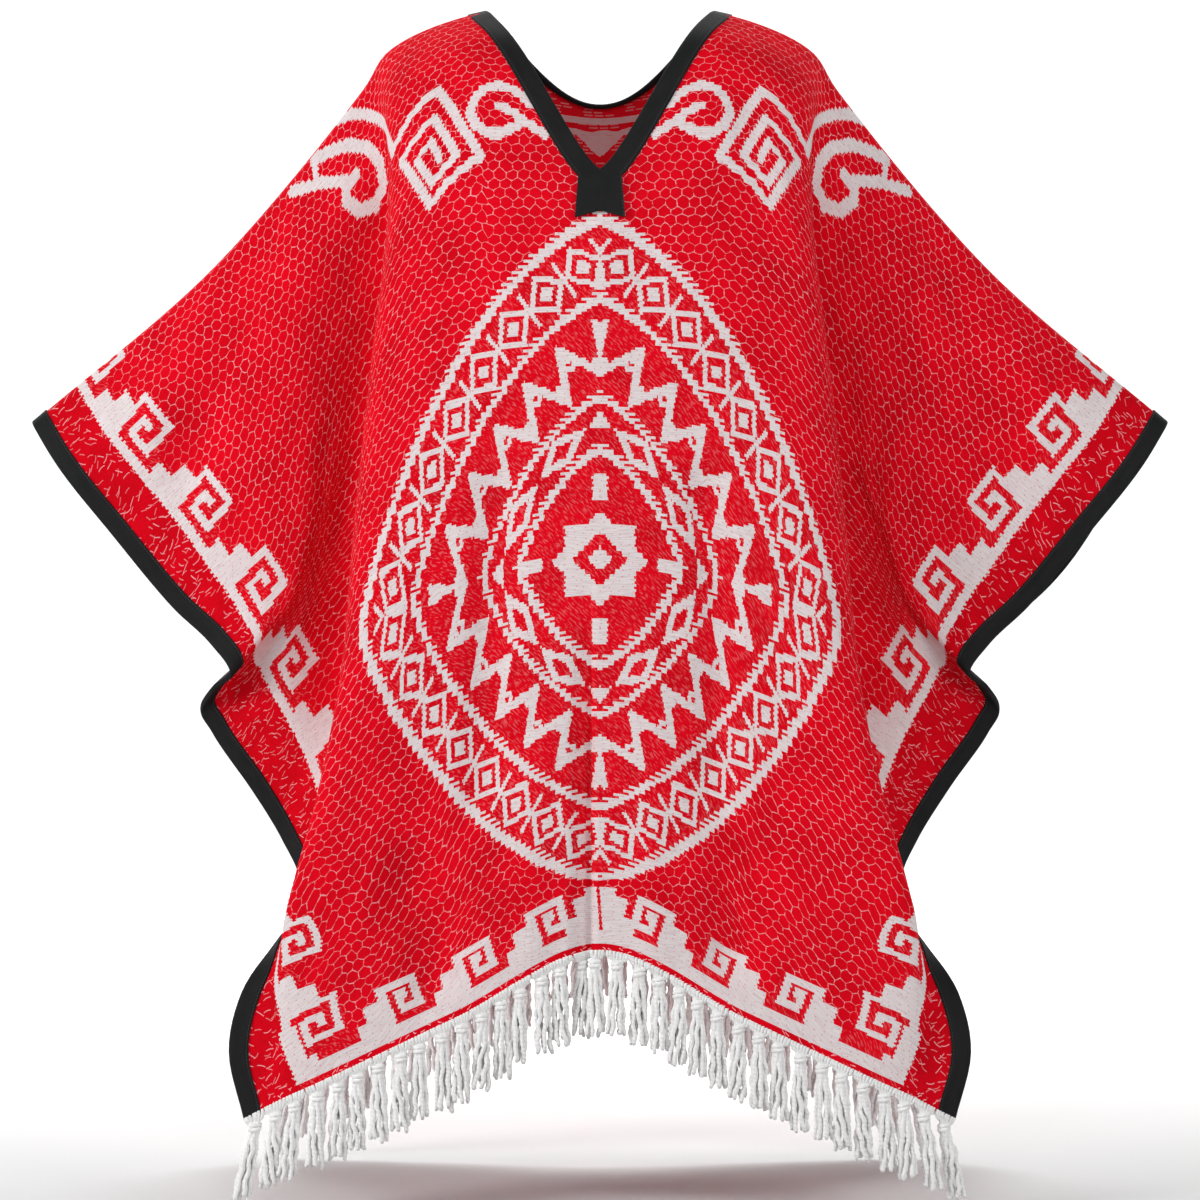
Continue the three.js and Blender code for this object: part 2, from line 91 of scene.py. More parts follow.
VALLEY = (
    (0.0, 240, 0, -72), (0.07, 222, -28, -130), (0.16, 220, -40, -230), (0.3, 240, -46, -400),
    (0.5, 262, -54, -590), (0.62, 256, -72, -700), (0.75, 266, -96, -812), (0.82, 284, -122, -866),
    (0.87, 306, -150, -912), (1.0, 300, -178, -1070),
)
WING = (
    (0.0, 393, 0, -254), (0.06, 380, -30, -311), (0.16, 340, -40, -400), (0.3, 300, -46, -535),
    (0.5, 318, -40, -665), (0.62, 292, -42, -750), (0.75, 278, -62, -835), (0.82, 288, -88, -880),
    (0.87, 309, -132, -920), (1.0, 322, -175, -1082),
)
SIDE = (
    (0.0, 575, 0, -410), (0.045, 551, -18, -447), (0.15, 489, -25, -525), (0.25, 428, -32, -597),
    (0.315, 388, -46, -634), (0.355, 368, -62, -660), (0.4, 388, -44, -678), (0.44, 402, -20, -698),
    (0.49, 391, -14, -722), (0.6, 352, -18, -778), (0.7, 318, -26, -832), (0.78, 299, -46, -872),
    (0.84, 300, -80, -905), (0.88, 320, -118, -932), (0.92, 347, -146, -972), (0.96, 358, -162, -1028),
    (1.0, 342, -170, -1092),
)
GUIDES = (MIDDLE, CHEST, CREST, VALLEY, WING, SIDE)

# Soft troughs (depth below 0) and ridges, on the cloth's own places in millimetres:
# from (s, t) to (s, t), half width, depth. s is counted from the middle, t from the crease.
FRONT_FOLDS = (
    (-106, 500, -112, 780, 26, -9.0),
    (-190, 850, -168, 925, 34, -13.0),
    (112, 500, 118, 760, 26, -8.0),
    (118, 790, 126, 940, 24, -4.5),
    (156, 850, 142, 925, 32, -12.0),
    (60, 700, 52, 960, 22, 3.0),
    (-60, 760, -72, 960, 20, 3.0),
    (-452, 30, -604, 148, 34, -7.0),
    (455, 36, 600, 152, 33, -6.5),
    (-520, 20, -640, 90, 16, 2.5),
    (515, 16, 632, 80, 18, 2.5),
    (-150, 120, -196, 330, 22, -3.0),
    (148, 130, 190, 310, 24, -2.6),
    (-40, 260, -30, 430, 34, -2.4),
    (46, 280, 30, 470, 30, -2.2),
    (-430, 250, -480, 420, 22, -3.0),
    (436, 240, 474, 400, 20, -2.6),
)
BACK_FOLDS = (
    (-120, 430, -104, 700, 32, -5.0),
    (-150, 760, -176, 955, 26, -6.0),
    (20, 560, 34, 950, 30, -6.5),
    (128, 500, 150, 930, 28, -5.0),
    (214, 800, 196, 950, 22, -4.5),
    (-40, 700, -54, 950, 22, 3.0),
    (90, 730, 84, 950, 20, 3.0),
    (-446, 34, -598, 150, 34, -6.5),
    (450, 28, 606, 140, 35, -7.0),
    (-140, 130, -180, 320, 24, -3.0),
    (152, 120, 186, 340, 22, -3.0),
    (0, 190, 8, 420, 40, -2.6),
)
# The pressed crease down the middle of the front: its place, its slow and its steep side, its depth
PRESS_AT, PRESS_SLOW, PRESS_STEEP, PRESS_DEPTH = -8, 26, 4.5, 12.0
PRESS_FROM, PRESS_FULL = 560, 800
# The valley under each arm: where it starts, is deepest and ends, counted in guide lines from the middle
VALLEY_STARTS, VALLEY_FOOT, VALLEY_ENDS, VALLEY_DEPTH = 2.4, 2.95, 4.1, 38
# The least upright share of a normal on the crease, which bounds the cloth's thickness there
CREASE_LEAST = 0.7
# Edges that turn by more than this, in degrees, are shaded sharp
SHARP_ANGLE = 50


# The cloth's middle surface

def unit(vectors):
    return vectors / np.linalg.norm(vectors, axis=1, keepdims=True)


def length_run(points):
    """The length run along a line of points, from 0 at its start."""
    return np.concatenate([[0], np.cumsum(np.linalg.norm(np.diff(points, axis=0), axis=1))])


def guide_line(table, down):
    """Points of one guide line at many shares down the cloth."""
    rows = np.array(table, float)
    knots, points = rows[:, 0], rows[:, 1:]
    step = np.diff(knots)[:, None]
    chord = np.diff(points, axis=0) / step
    slopes = np.empty_like(points)
    slopes[0], slopes[-1] = chord[0], chord[-1]
    slopes[1:-1] = (chord[:-1] * step[1:] + chord[1:] * step[:-1]) / (step[1:] + step[:-1])
    i = np.clip(np.searchsorted(knots, down, side="right") - 1, 0, len(knots) - 2)
    h = step[i]
    t = (down - knots[i])[:, None] / h
    return (
        points[i] * (1 + 2 * t) * (1 - t) ** 2 + slopes[i] * h * t * (1 - t) ** 2
        + points[i + 1] * t ** 2 * (3 - 2 * t) + slopes[i + 1] * h * t ** 2 * (t - 1)
    )


def row_points(down, place):
    """Points of the right half of the rows. place runs from 0 to 5 through the guide lines."""
    lines = np.stack([guide_line(table, down) for table in GUIDES], axis=1)
    mirrored = lines[:, 1:2] * (-1, 1, 1)
    beyond = 2 * lines[:, -1:] - lines[:, -2:-1]
    knots = np.concatenate([mirrored, lines, beyond], axis=1)
    segment = np.clip(place.astype(int), 0, len(GUIDES) - 2)
    u = (place - segment)[:, None]
    which = np.arange(len(down))
    p0, p1, p2, p3 = (knots[which, segment + k] for k in range(4))
    d0, d1, d2 = (
        np.linalg.norm(b - a, axis=1, keepdims=True) ** 0.5
        for a, b in ((p0, p1), (p1, p2), (p2, p3))
    )
    m1 = ((p1 - p0) / d0 - (p2 - p0) / (d0 + d1) + (p2 - p1) / d1) * d1
    m2 = ((p2 - p1) / d1 - (p3 - p1) / (d1 + d2) + (p3 - p2) / d2) * d1
    return p1 + m1 * u + (3 * (p2 - p1) - 2 * m1 - m2) * u ** 2 + (2 * (p1 - p2) + m1 + m2) * u ** 3


def measure_rows(downs, shares, steps=400):
    """Each row's half length, and the place on it of each share of that length."""
    places = np.linspace(0, len(GUIDES) - 1, steps)
    lengths = np.empty(len(downs))
    table = np.empty((len(downs), len(shares)))
    for j, down in enumerate(downs):
        run = length_run(row_points(np.full(steps, down), places))
        lengths[j] = run[-1]
        table[j] = np.interp(shares * run[-1], run, places)
    return lengths, table


ROW_DOWNS = np.linspace(0, 1, 401)
ROW_SHARES = np.linspace(0, 1, 241)
ROW_LENGTHS, ROW_PLACES = measure_rows(ROW_DOWNS, ROW_SHARES)


def half_length(down):
    return np.interp(down, ROW_DOWNS, ROW_LENGTHS)


def place_on_row(across, down):
    j = np.clip(down * (len(ROW_DOWNS) - 1), 0, len(ROW_DOWNS) - 1.001)
    i = np.clip(across * (len(ROW_SHARES) - 1), 0, len(ROW_SHARES) - 1.001)
    j0, i0 = j.astype(int), i.astype(int)
    fj, fi = j - j0, i - i0
    top = ROW_PLACES[j0, i0] * (1 - fi) + ROW_PLACES[j0, i0 + 1] * fi
    low = ROW_PLACES[j0 + 1, i0] * (1 - fi) + ROW_PLACES[j0 + 1, i0 + 1] * fi
    return top * (1 - fj) + low * fj


def base_points(face, across, down):
    """The smooth cloth in millimetres. across is -1 at the left side edge and 1 at the right one."""
    share = np.abs(across)
    p = row_points(down, place_on_row(share, down))
    turned = np.minimum(1, down / ROLL_SHARE)
    depth = -p[:, 1] + SHOULDER_ROLL * np.sqrt(1 - (1 - turned) ** 2)
    x = p[:, 0] * np.where(across < 0, -1, 1)
    if face == "front":
        return np.stack([x, -depth - GAP / 2, p[:, 2]], axis=1)
    along = (down - BACK_EDGE_FROM) / (BACK_EDGE_TO - BACK_EDGE_FROM)
    shows = (along > 0) & (along < 1) & (across > 0)
    x = x + shows * BACK_EDGE_OUT * np.sin(math.pi * along) ** 2 * share ** 4
    return np.stack([x, depth * BACK_FULLNESS + GAP / 2, p[:, 2]], axis=1)


def smooth_step(value):
    t = np.clip(value, 0, 1)
    return t * t * (3 - 2 * t)


def stroke_depth(s, t, fold):
    """One soft fold: a cosine across its line, fading towards both ends."""
    s0, t0, s1, t1, half_width, depth = fold
    run = np.array([s1 - s0, t1 - t0], float)
    length = np.hypot(*run)
    along = ((s - s0) * run[0] + (t - t0) * run[1]) / length
    aside = ((t - t0) * run[0] - (s - s0) * run[1]) / length
    bend = 0.22 * half_width * np.sin(along / length * 4.1 + s0)
    fade = half_width * 1.6
    ends = smooth_step((along + fade) / fade) * smooth_step((length + fade - along) / fade)
    across = np.clip(np.abs(aside + bend) / (half_width * 1.5), 0, 1)
    return depth * ends * (0.5 + 0.5 * np.cos(math.pi * across))


def press_depth(s, t):
    """The pressed crease: a slow slope in from the left and a steep one out to the right."""
    at = s - PRESS_AT
    slow = smooth_step((at + PRESS_SLOW) / PRESS_SLOW)
    steep = smooth_step(at / PRESS_STEEP)
    strength = smooth_step((t - PRESS_FROM) / (PRESS_FULL - PRESS_FROM))
    return -PRESS_DEPTH * strength * (slow - steep)


def small_waves(s, t):
    """Faint uneven waves all over, so that no stretch of cloth is quite flat."""
    return (
        0.9 * np.sin(s / 47 + 1.3 * np.sin(t / 83)) * np.sin(t / 96 + 0.7)
        + 0.6 * np.sin(s / 26 + t / 71 + 2.0) * np.sin(t / 58 - s / 130)
    )


def valley_depth(face, across, down):
    """The deep valley between the body and the arm: steep at the body, fading out along the arm."""
    place = place_on_row(np.abs(across), down)
    body_side = smooth_step((place - VALLEY_STARTS) / (VALLEY_FOOT - VALLEY_STARTS))
    arm_side = np.clip((VALLEY_ENDS - place) / (VALLEY_ENDS - VALLEY_FOOT), 0, 1) ** 1.4
    along = smooth_step((down - 0.05) / 0.2) * (1 - smooth_step((down - 0.58) / 0.17))
    depth = VALLEY_DEPTH if face == "front" else VALLEY_DEPTH * 0.75
    return -depth * body_side * arm_side * along


def fold_depths(face, across, down):
    s = across * half_length(down)
    t = down * LENGTH
    total = small_waves(s, t) + sum(
        stroke_depth(s, t, fold) for fold in (FRONT_FOLDS if face == "front" else BACK_FOLDS)
    )
    total = total + valley_depth(face, across, down)
    if face == "front":
        total = total + press_depth(s, t)
    return total * smooth_step(down / 0.03)


NORMAL_STEP = 0.0012


def normals_of(point_at, face, across, down):
    """Outward normals by small steps either way, kept on the cloth."""
    near = np.minimum(NORMAL_STEP, down * 0.5 + 2e-5)
    side_a, side_b = np.clip(across - NORMAL_STEP, -1, 1), np.clip(across + NORMAL_STEP, -1, 1)
    up, low = np.clip(down - near, 0, 1), np.clip(down + near, 0, 1)
    wide = point_at(face, side_b, down) - point_at(face, side_a, down)
    tall = point_at(face, across, low) - point_at(face, across, up)
    normal = np.cross(tall, wide) if face == "front" else np.cross(wide, tall)
    return unit(normal)


def cloth_points(face, across, down):
    """The cloth with its folds, in millimetres."""
    base = base_points(face, across, down)
    lift = fold_depths(face, across, down)
    return base + normals_of(base_points, face, across, down) * lift[:, None]


def cloth_frames(face, across, down):
    """Points and outward normals of the folded cloth; on the crease the normals lie upright."""
    across = np.asarray(across, float)
    down = np.asarray(down, float)
    points = cloth_points(face, across, down)
    normals = normals_of(cloth_points, face, across, down)
    crease = down < 1e-6
    flat = np.hypot(normals[:, 0], normals[:, 2])
    laid = normals * (1, 0, 1) / (flat * np.maximum(flat, CREASE_LEAST))[:, None]
    return points, np.where(crease[:, None], laid, normals)


def neck_down(face, share):
    depth, power = NECK[face]
    return depth * (1 - np.abs(share) ** power)


# Meshes

def make_object(name, points_mm, faces):
    mesh = bpy.data.meshes.new(name)
    mesh.from_pydata((np.asarray(points_mm, float) * MM).tolist(), [], faces)
    mesh.polygons.foreach_set("use_smooth", [True] * len(mesh.polygons))
    made = bpy.data.objects.new(name, mesh)
    bpy.context.scene.collection.objects.link(made)
    return made


def grid_shell(name, outside, inside, rows, columns):
    """A closed shell between two grids of points, with its counts of outside and of rim faces."""
    index = np.arange(rows * columns).reshape(rows, columns)
    a, b = index[:-1, :-1].ravel(), index[:-1, 1:].ravel()
    c, d = index[1:, 1:].ravel(), index[1:, :-1].ravel()
    outer = np.stack([a, b, c, d], axis=1)
    inner = np.stack([a, d, c, b], axis=1) + index.size
    rim = np.concatenate([index[0, :], index[1:, -1], index[-1, -2::-1], index[-2:0:-1, 0]])
    after = np.roll(rim, -1)
    wall = np.stack([after, rim, rim + index.size, after + index.size], axis=1)
    faces = np.concatenate([outer, inner, wall]).tolist()
    return make_object(name, np.concatenate([outside, inside]), faces), len(outer), len(wall)


def face_outward(made, sharp=True):
    """Turns every face outward, and marks the sharp edges."""
    work = bmesh.new()
    work.from_mesh(made.data)
    bmesh.ops.recalc_face_normals(work, faces=work.faces)
    work.to_mesh(made.data)
    work.free()
    if sharp:
        made.data.set_sharp_from_angle(angle=math.radians(SHARP_ANGLE))


def add_uv(made, name, corner_values):
    """corner_values holds one pair for each vertex."""
    layer = made.data.uv_layers.new(name=name)
    loops = np.empty(len(made.data.loops), int)
    made.data.loops.foreach_get("vertex_index", loops)
    layer.data.foreach_set("uv", np.asarray(corner_values, float)[loops].ravel())


# Panels
NECK_COLUMNS = 30
BODY_COLUMNS = 74
HALF_COLUMNS = NECK_COLUMNS + BODY_COLUMNS
HEM_SHARE_OF_NECK = 0.238
ROLL_ROWS = (0.0, 0.0005, 0.0014, 0.0028, 0.0047, 0.0072, 0.0102)
BODY_ROWS = 178
ROLL_END = ROLL_ROWS[-1]
ROWS = np.array(ROLL_ROWS + tuple(ROLL_END + (1 - ROLL_END) * np.linspace(0, 1, BODY_ROWS + 1)[1:]))


def panel_grid(face):
    """across and down of every grid point: one row for each of ROWS, side edge to side edge."""
    column = np.arange(-HALF_COLUMNS, HALF_COLUMNS + 1)
    count = np.abs(column)
    neck = np.minimum(count / NECK_COLUMNS, 1)
    body = np.maximum(count - NECK_COLUMNS, 0) / BODY_COLUMNS
    top = NECK_SHARE * neck + (1 - NECK_SHARE) * body
    hem = HEM_SHARE_OF_NECK * neck ** 1.3 + (1 - HEM_SHARE_OF_NECK) * body
    start = neck_down(face, neck)
    share = ROWS[:, None]
    across = (top + (hem - top) * share) * np.sign(column)
    down = start + (1 - start) * share
    return across, down


def edge_run():
    """The length run along a side edge at each share down it, in millimetres."""
    downs = np.linspace(0, 1, 401)
    return downs, length_run(base_points("front", np.ones(401), downs))


def side_places(across, down):
    """For the side border: how far in from its white base line, and how far along the pattern."""
    downs, run = edge_run()
    margin = (1 - np.abs(across)) * half_length(down)
    inward = margin - np.interp(down * LENGTH, *np.array(SIDE_LINE).T)
    return inward, np.interp(np.interp(down, downs, run), *np.array(SIDE_RUN).T)


def make_panel(face):
    across, down = panel_grid(face)
    rows, columns = across.shape
    points, normals = cloth_frames(face, across.ravel(), down.ravel())
    half = normals * CLOTH / 2
    made, outer, wall = grid_shell(face + "_cloth", points + half, points - half, rows, columns)
    sign = 1 if face == "front" else -1
    s = across * half_length(down)
    t = down * LENGTH
    steps = np.linalg.norm(np.diff(points.reshape(rows, columns, 3), axis=0), axis=2)
    run = t[:1] + np.concatenate([np.zeros((1, columns)), np.cumsum(steps, axis=0)])
    above_hem = run[-1:] - run
    inward, along = side_places(across, down)
    maps = {
        "cloth": (s, sign * t), "net": (s, sign * (t + run) / 2),
        "side": (inward, sign * along), "hem": (s, above_hem),
    }
    for name, (u, v) in maps.items():
        pairs = np.stack([u.ravel(), v.ravel()], axis=1) * MM
        add_uv(made, name, np.concatenate([pairs, pairs]))
    zones = panel_zones(face, s, t, inward, above_hem)
    slots = np.concatenate([zones, np.full(outer, INSIDE), np.full(wall, PLAIN)]).astype(np.int32)
    made.data.polygons.foreach_set("material_index", slots)
    face_outward(made)
    return made


# Zones of the cloth, each with its own part of the pattern
PLAIN, SIDE_BORDER, HEM_BORDER, CORNER, MEDALLION, SHOULDER, INSIDE = range(7)
SIDE_ZONE = 66
HEM_ZONE = 70


def panel_zones(face, s, t, inward, above_hem):
    """The zone of each outer face, from its middle."""
    def middle(grid):
        return ((grid[:-1, :-1] + grid[1:, 1:]) / 2).ravel()
    s, t, inward, above_hem = middle(s), middle(t), middle(inward), middle(above_hem)
    side = inward < SIDE_ZONE
    hem = above_hem < HEM_ZONE
    zones = np.full(len(s), PLAIN)
    if face == "front":
        wide, tall = s / (LOZENGE_HALF_WIDTH + 12), (t - LOZENGE_DOWN) / (LOZENGE_HALF_HEIGHT + 12)
        zones[np.abs(wide) ** LOZENGE_POWER + np.abs(tall) ** LOZENGE_POWER < 1] = MEDALLION
    zones[(t < 262) & (np.abs(s) > 40) & (zones == PLAIN)] = SHOULDER
    zones[side] = SIDE_BORDER
    zones[hem] = HEM_BORDER
    zones[side & hem] = CORNER
    return zones


# Sizes of the woven pattern, in millimetres
LOZENGE_DOWN = 583
LOZENGE_HALF_WIDTH = 248
LOZENGE_HALF_HEIGHT = 334
LOZENGE_POWER = 1.35
# Half the number of figures in a quarter of a ring, and the row of jewels: its ring, half its band, its sizes
LOZENGE_COUNT = 4.5
JEWEL_RING, JEWEL_BAND, JEWEL_SIZES = 0.865, 0.088, (0.98, 0.66, 0.36)
THREAD = 2.6
SIDE_PITCH, SIDE_HEIGHT, SIDE_START = 97, 59, 36
HEM_MARGIN = 8
HEM_PITCH, HEM_HEIGHT, HEM_START, HEM_LEAN = 79, 54, 12.5, 15
HEM_BASE = 12
# How far in from the side edge the side border's base line runs, at places down the cloth
SIDE_LINE = (
    (0, 58), (200, 58), (263, 50), (310, 40), (357, 36), (445, 78), (519, 77), (600, 68), (700, 58),
    (800, 40), (850, 27), (890, 28), (922, 52), (952, 62), (984, 64),
)
# The pattern's own run along the edge: it takes less cloth than the edge does at the elbow
SIDE_RUN = ((0, 0), (300, 300), (411, 356), (1000, 945))

# One unit of the stepped fret, in shares of its pitch (u) and its height (v), along a side and the hem
SIDE_FRET = (
    # u from, u to, v from, v to
    (0.0, 1.0, 0.0, 0.17),
    (0.0, 0.467, 0.1, 0.42),
    (0.2, 0.467, 0.1, 0.71),
    (0.4, 0.467, 0.1, 1.0),
    (0.4, 0.875, 0.878, 1.0),
    (0.8, 0.875, 0.31, 1.0),
    (0.553, 0.875, 0.31, 0.444),
    (0.553, 0.623, 0.31, 0.743),
    (0.553, 0.725, 0.607, 0.743),
)
HEM_FRET = (
    (0.0, 1.0, 0.0, 0.235),
    (0.0, 0.48, 0.1, 0.5),
    (0.15, 0.48, 0.1, 0.77),
    (0.36, 0.48, 0.1, 1.0),
    (0.36, 0.867, 0.885, 1.0),
    (0.765, 0.867, 0.38, 1.0),
    (0.565, 0.867, 0.38, 0.505),
    (0.565, 0.65, 0.38, 0.805),
    (0.565, 0.71, 0.71, 0.805),
    (0.64, 0.71, 0.61, 0.805),
)

# The stepped block at the hem's middle: each step's half width and its share of the height
HEM_CENTRE = ((1, 1.0), (15, 0.84), (29, 0.52))

# The shoulder's strokes: half width, then points (s, t) in millimetres, the same on both halves
SHOULDER_STROKES = (
    (4.6, ((231, 129), (217, 124), (201, 117), (187, 113), (165, 112), (138, 168))),
    (4.2, ((138, 168), (118, 202), (154, 216), (172, 227), (216, 153), (172, 140), (143, 194), (171, 207))),
    (3.7, ((171, 207), (192, 172), (174, 164), (163, 188))),
    (5.4, ((231, 129), (247, 91), (265, 47), (278, 25), (293, 9), (312, -2))),
    (6.4, ((353, 8), (333, 17), (310, 32), (292, 57), (285, 86), (292, 106), (308, 112), (330, 98),
           (340, 76), (333, 64), (318, 66))),
    (6.0, ((390, 12), (357, 34), (331, 60))),
    (4.0, ((353, 8), (360, 28))),
    (4.9, ((70, 146), (79, 137), (89, 131), (101, 128), (115, 131), (125, 141), (130, 155), (124, 170),
           (112, 180), (100, 181), (89, 175), (75, 166))),
    (4.6, ((101, 152), (87, 157), (75, 166), (55, 176))),
)

# Colours, and the finish of each stuff: its roughness and its gloss
RED = (0.76, 0.0012, 0.012, 1)
DEEP_RED = (0.58, 0.0008, 0.008, 1)
# The red of the cloth's inside is painted lighter than RED: painted light, standing in for light that the
# hollow inside does not get
PAINTED_LIGHT_INSIDE_RED = (0.92, 0.012, 0.03, 1)
WHITE = (0.775, 0.7, 0.705, 1)
WHITE_LINE = (0.62, 0.47, 0.49, 1)
NET_PINK = (0.84, 0.4, 0.43, 1)
TAPE_BLACK = (0.0085, 0.009, 0.0095, 1)
TAPE_GREY = (0.0145, 0.0145, 0.015, 1)
STITCH_GREY = (0.03, 0.03, 0.032, 1)
YARN_SHADE, YARN_LIGHT = (0.88, 0.875, 0.87, 1), (0.97, 0.97, 0.965, 1)
STUDIO_WHITE = (0.62, 0.63, 0.63, 1)
CLOTH_FINISH = (1.0, 0.08)
TAPE_FINISH = (0.7, 0.12)
YARN_FINISH = (0.95, 0.1)
STUDIO_FINISH = (0.9, 0.1)


def math_method(name):
    """A method that makes one math node of its field and of what it is given."""
    return lambda field, *others: field.shader.math(name, field, *others)


class Field:
    """A number that varies over the surface, with the usual arithmetic."""

    def __init__(self, shader, socket):
        self.shader = shader
        self.socket = socket

    __add__ = __radd__ = math_method("ADD")
    __sub__ = math_method("SUBTRACT")
    __mul__ = __rmul__ = math_method("MULTIPLY")
    __truediv__ = math_method("DIVIDE")
    __pow__ = math_method("POWER")
    __abs__ = math_method("ABSOLUTE")
    floor, fract = math_method("FLOOR"), math_method("FRACT")
    cosine, sine = math_method("COSINE"), math_method("SINE")
    top, least = math_method("MAXIMUM"), math_method("MINIMUM")
    under, over = math_method("LESS_THAN"), math_method("GREATER_THAN")
    # near(middle, reach) is 1 within reach of middle, else 0
    near = math_method("COMPARE")

    def __rsub__(self, other):
        return self.shader.math("SUBTRACT", other, self)

    def unit(self):
        """The number kept from 0 to 1."""
        return self.least(1.0).top(0.0)


class Shader:
    """Builds one material. Numbers and fields may be mixed freely in its arithmetic."""

    def __init__(self, name):
        self.material = bpy.data.materials.new(name)
        self.material.use_nodes = True
        self.tree = self.material.node_tree
        self.surface = self.tree.nodes["Principled BSDF"]

    def node(self, kind, inputs=(), **settings):
        """A new node; inputs pairs its sockets with their values."""
        made = self.tree.nodes.new("ShaderNode" + kind)
        for name, value in settings.items():
            setattr(made, name, value)
        for socket, value in inputs:
            self.put(made.inputs[socket], value)
        return made

    def put(self, socket, value):
        if isinstance(value, Field):
            value = value.socket
        if isinstance(value, bpy.types.NodeSocket):
            self.tree.links.new(value, socket)
        else:
            socket.default_value = value

    def math(self, operation, *values):
        return Field(self, self.node("Math", enumerate(values), operation=operation).outputs[0])

    def parts(self, vector, kind="SeparateXYZ"):
        """The fields of a vector's or a colour's parts."""
        return [Field(self, out) for out in self.node(kind, [(0, vector)]).outputs]

    def uv(self, name):
        """A UV map's two numbers, in millimetres."""
        u, v, _ = self.parts(self.node("UVMap", uv_map=name).outputs["UV"])
        return u * 1000, v * 1000

    def pair(self, x, y):
        return self.node("CombineXYZ", [(0, x), (1, y)]).outputs[0]

    def noise(self, x, y, detail=1.0):
        inputs = [("Vector", self.pair(x, y)), ("Scale", 1.0), ("Detail", detail)]
        return Field(self, self.node("TexNoise", inputs, noise_dimensions="2D").outputs["Fac"])

    def random(self, x, y=0.0):
        made = self.node("TexWhiteNoise", [("Vector", self.pair(x, y))], noise_dimensions="2D")
        return Field(self, made.outputs["Value"])

    def cells(self, x, y, randomness):
        """A Voronoi pattern of unit cells: the texture's node."""
        inputs = [("Vector", self.pair(x, y)), ("Scale", 1.0), ("Randomness", randomness)]
        return self.node("TexVoronoi", inputs, voronoi_dimensions="2D", feature="F1")

    def mix(self, share, a, b):
        return self.node("Mix", [(0, share), (6, a), (7, b)], data_type="RGBA").outputs[2]

    def vector(self, operation, *values, out=0):
        return self.node("VectorMath", enumerate(values), operation=operation).outputs[out]

    def distance_to_line(self, place, start, end):
        """How far a place is from the straight line between two points."""
        run = (end[0] - start[0], end[1] - start[1])
        square = run[0] ** 2 + run[1] ** 2
        off = self.vector("SUBTRACT", place, (*start, 0))
        along = Field(self, self.vector("DOT_PRODUCT", off, (run[0] / square, run[1] / square, 0), out=1))
        foot = self.node("VectorMath", operation="SCALE")
        foot.inputs["Vector"].default_value = (*run, 0)
        self.put(foot.inputs["Scale"], along.unit())
        return Field(self, self.vector("DISTANCE", off, foot.outputs[0], out=1))

    def bump(self, height, distance, strength):
        inputs = [("Strength", strength), ("Distance", distance), ("Height", height)]
        return self.node("Bump", inputs).outputs["Normal"]

    def finish(self, colour, finish, normal=None):
        roughness, gloss = finish
        self.put(self.surface.inputs["Base Color"], colour)
        self.put(self.surface.inputs["Roughness"], roughness)
        self.put(self.surface.inputs["Specular IOR Level"], gloss)
        if normal is not None:
            self.put(self.surface.inputs["Normal"], normal)
        return self.material


def box_mask(x, y, left, right, low, high, grow_x=0.0, grow_y=0.0):
    """1 inside a rectangle, whose sides grow by a field from one thread to the next."""
    inside_x = x.near((left + right) / 2, (right - left) / 2 + grow_x)
    return inside_x * y.near((low + high) / 2, (high - low) / 2 + grow_y)


def either(masks):
    joined = masks[0]
    for mask in masks[1:]:
        joined = joined.top(mask)
    return joined


class Threads:
    """The cloth's place at the level of its weft threads: rows of thread with uneven ends."""

    def __init__(self, shader, name="cloth"):
        self.s, self.t = shader.uv(name)
        row = (self.t / THREAD).floor()
        self.t_row = (row + 0.5) * THREAD
        tooth = (row * 0.5).fract() * 2
        self.grow = tooth * 1.5 - 0.95 + shader.random(row, 3.7) * 0.6
        self.shift = shader.random(row, 9.1) * 1.4 - 0.7


NET_WIDE, NET_TALL, NET_WARP = 11.6, 17.5, 5.5


def hex_net(shader, s, t):
    """Thin white lines round small six-sided cells, broken and uneven, with bright knots."""
    warp_s = shader.noise(s / 17, t / 17) * NET_WARP - NET_WARP / 2
    warp_t = shader.noise(s / 15 + 40, t / 15 + 17) * NET_WARP - NET_WARP / 2
    x, y = (s + warp_s) / NET_WIDE, (t + warp_t) / NET_TALL
    ax, ay = x.fract() - 0.5, y.fract() - 0.5
    bx, by = (x + 0.5).fract() - 0.5, (y + 0.5).fract() - 0.5
    ratio = 3 ** 0.5
    a_dist = ax * ax + ay * ay * ratio ** 2
    b_dist = bx * bx + by * by * ratio ** 2
    pick_b = b_dist.under(a_dist)
    gx = abs(ax + (bx - ax) * pick_b)
    gy = abs(ay + (by - ay) * pick_b) * ratio
    edge = gx.top(gx * 0.5 + gy * (ratio / 2))
    broken = shader.noise(s / 3.6 + 7, t / 3.6 + 3)
    line = edge.over(0.472 - broken * 0.012)
    knots = (gx * gy * 4).over(0.44)
    strength = line * (broken * 4.4 - 1.75).least(1.0).top(0.08)
    bright = shader.noise(s / 50 + 3, t / 50 + 1) * 0.9 + 0.32
    return (strength * bright).top(line * knots * 0.8)


STROKE_SPREAD, STROKE_THICK, STROKES_KEPT = 2.0, 0.42, 0.3


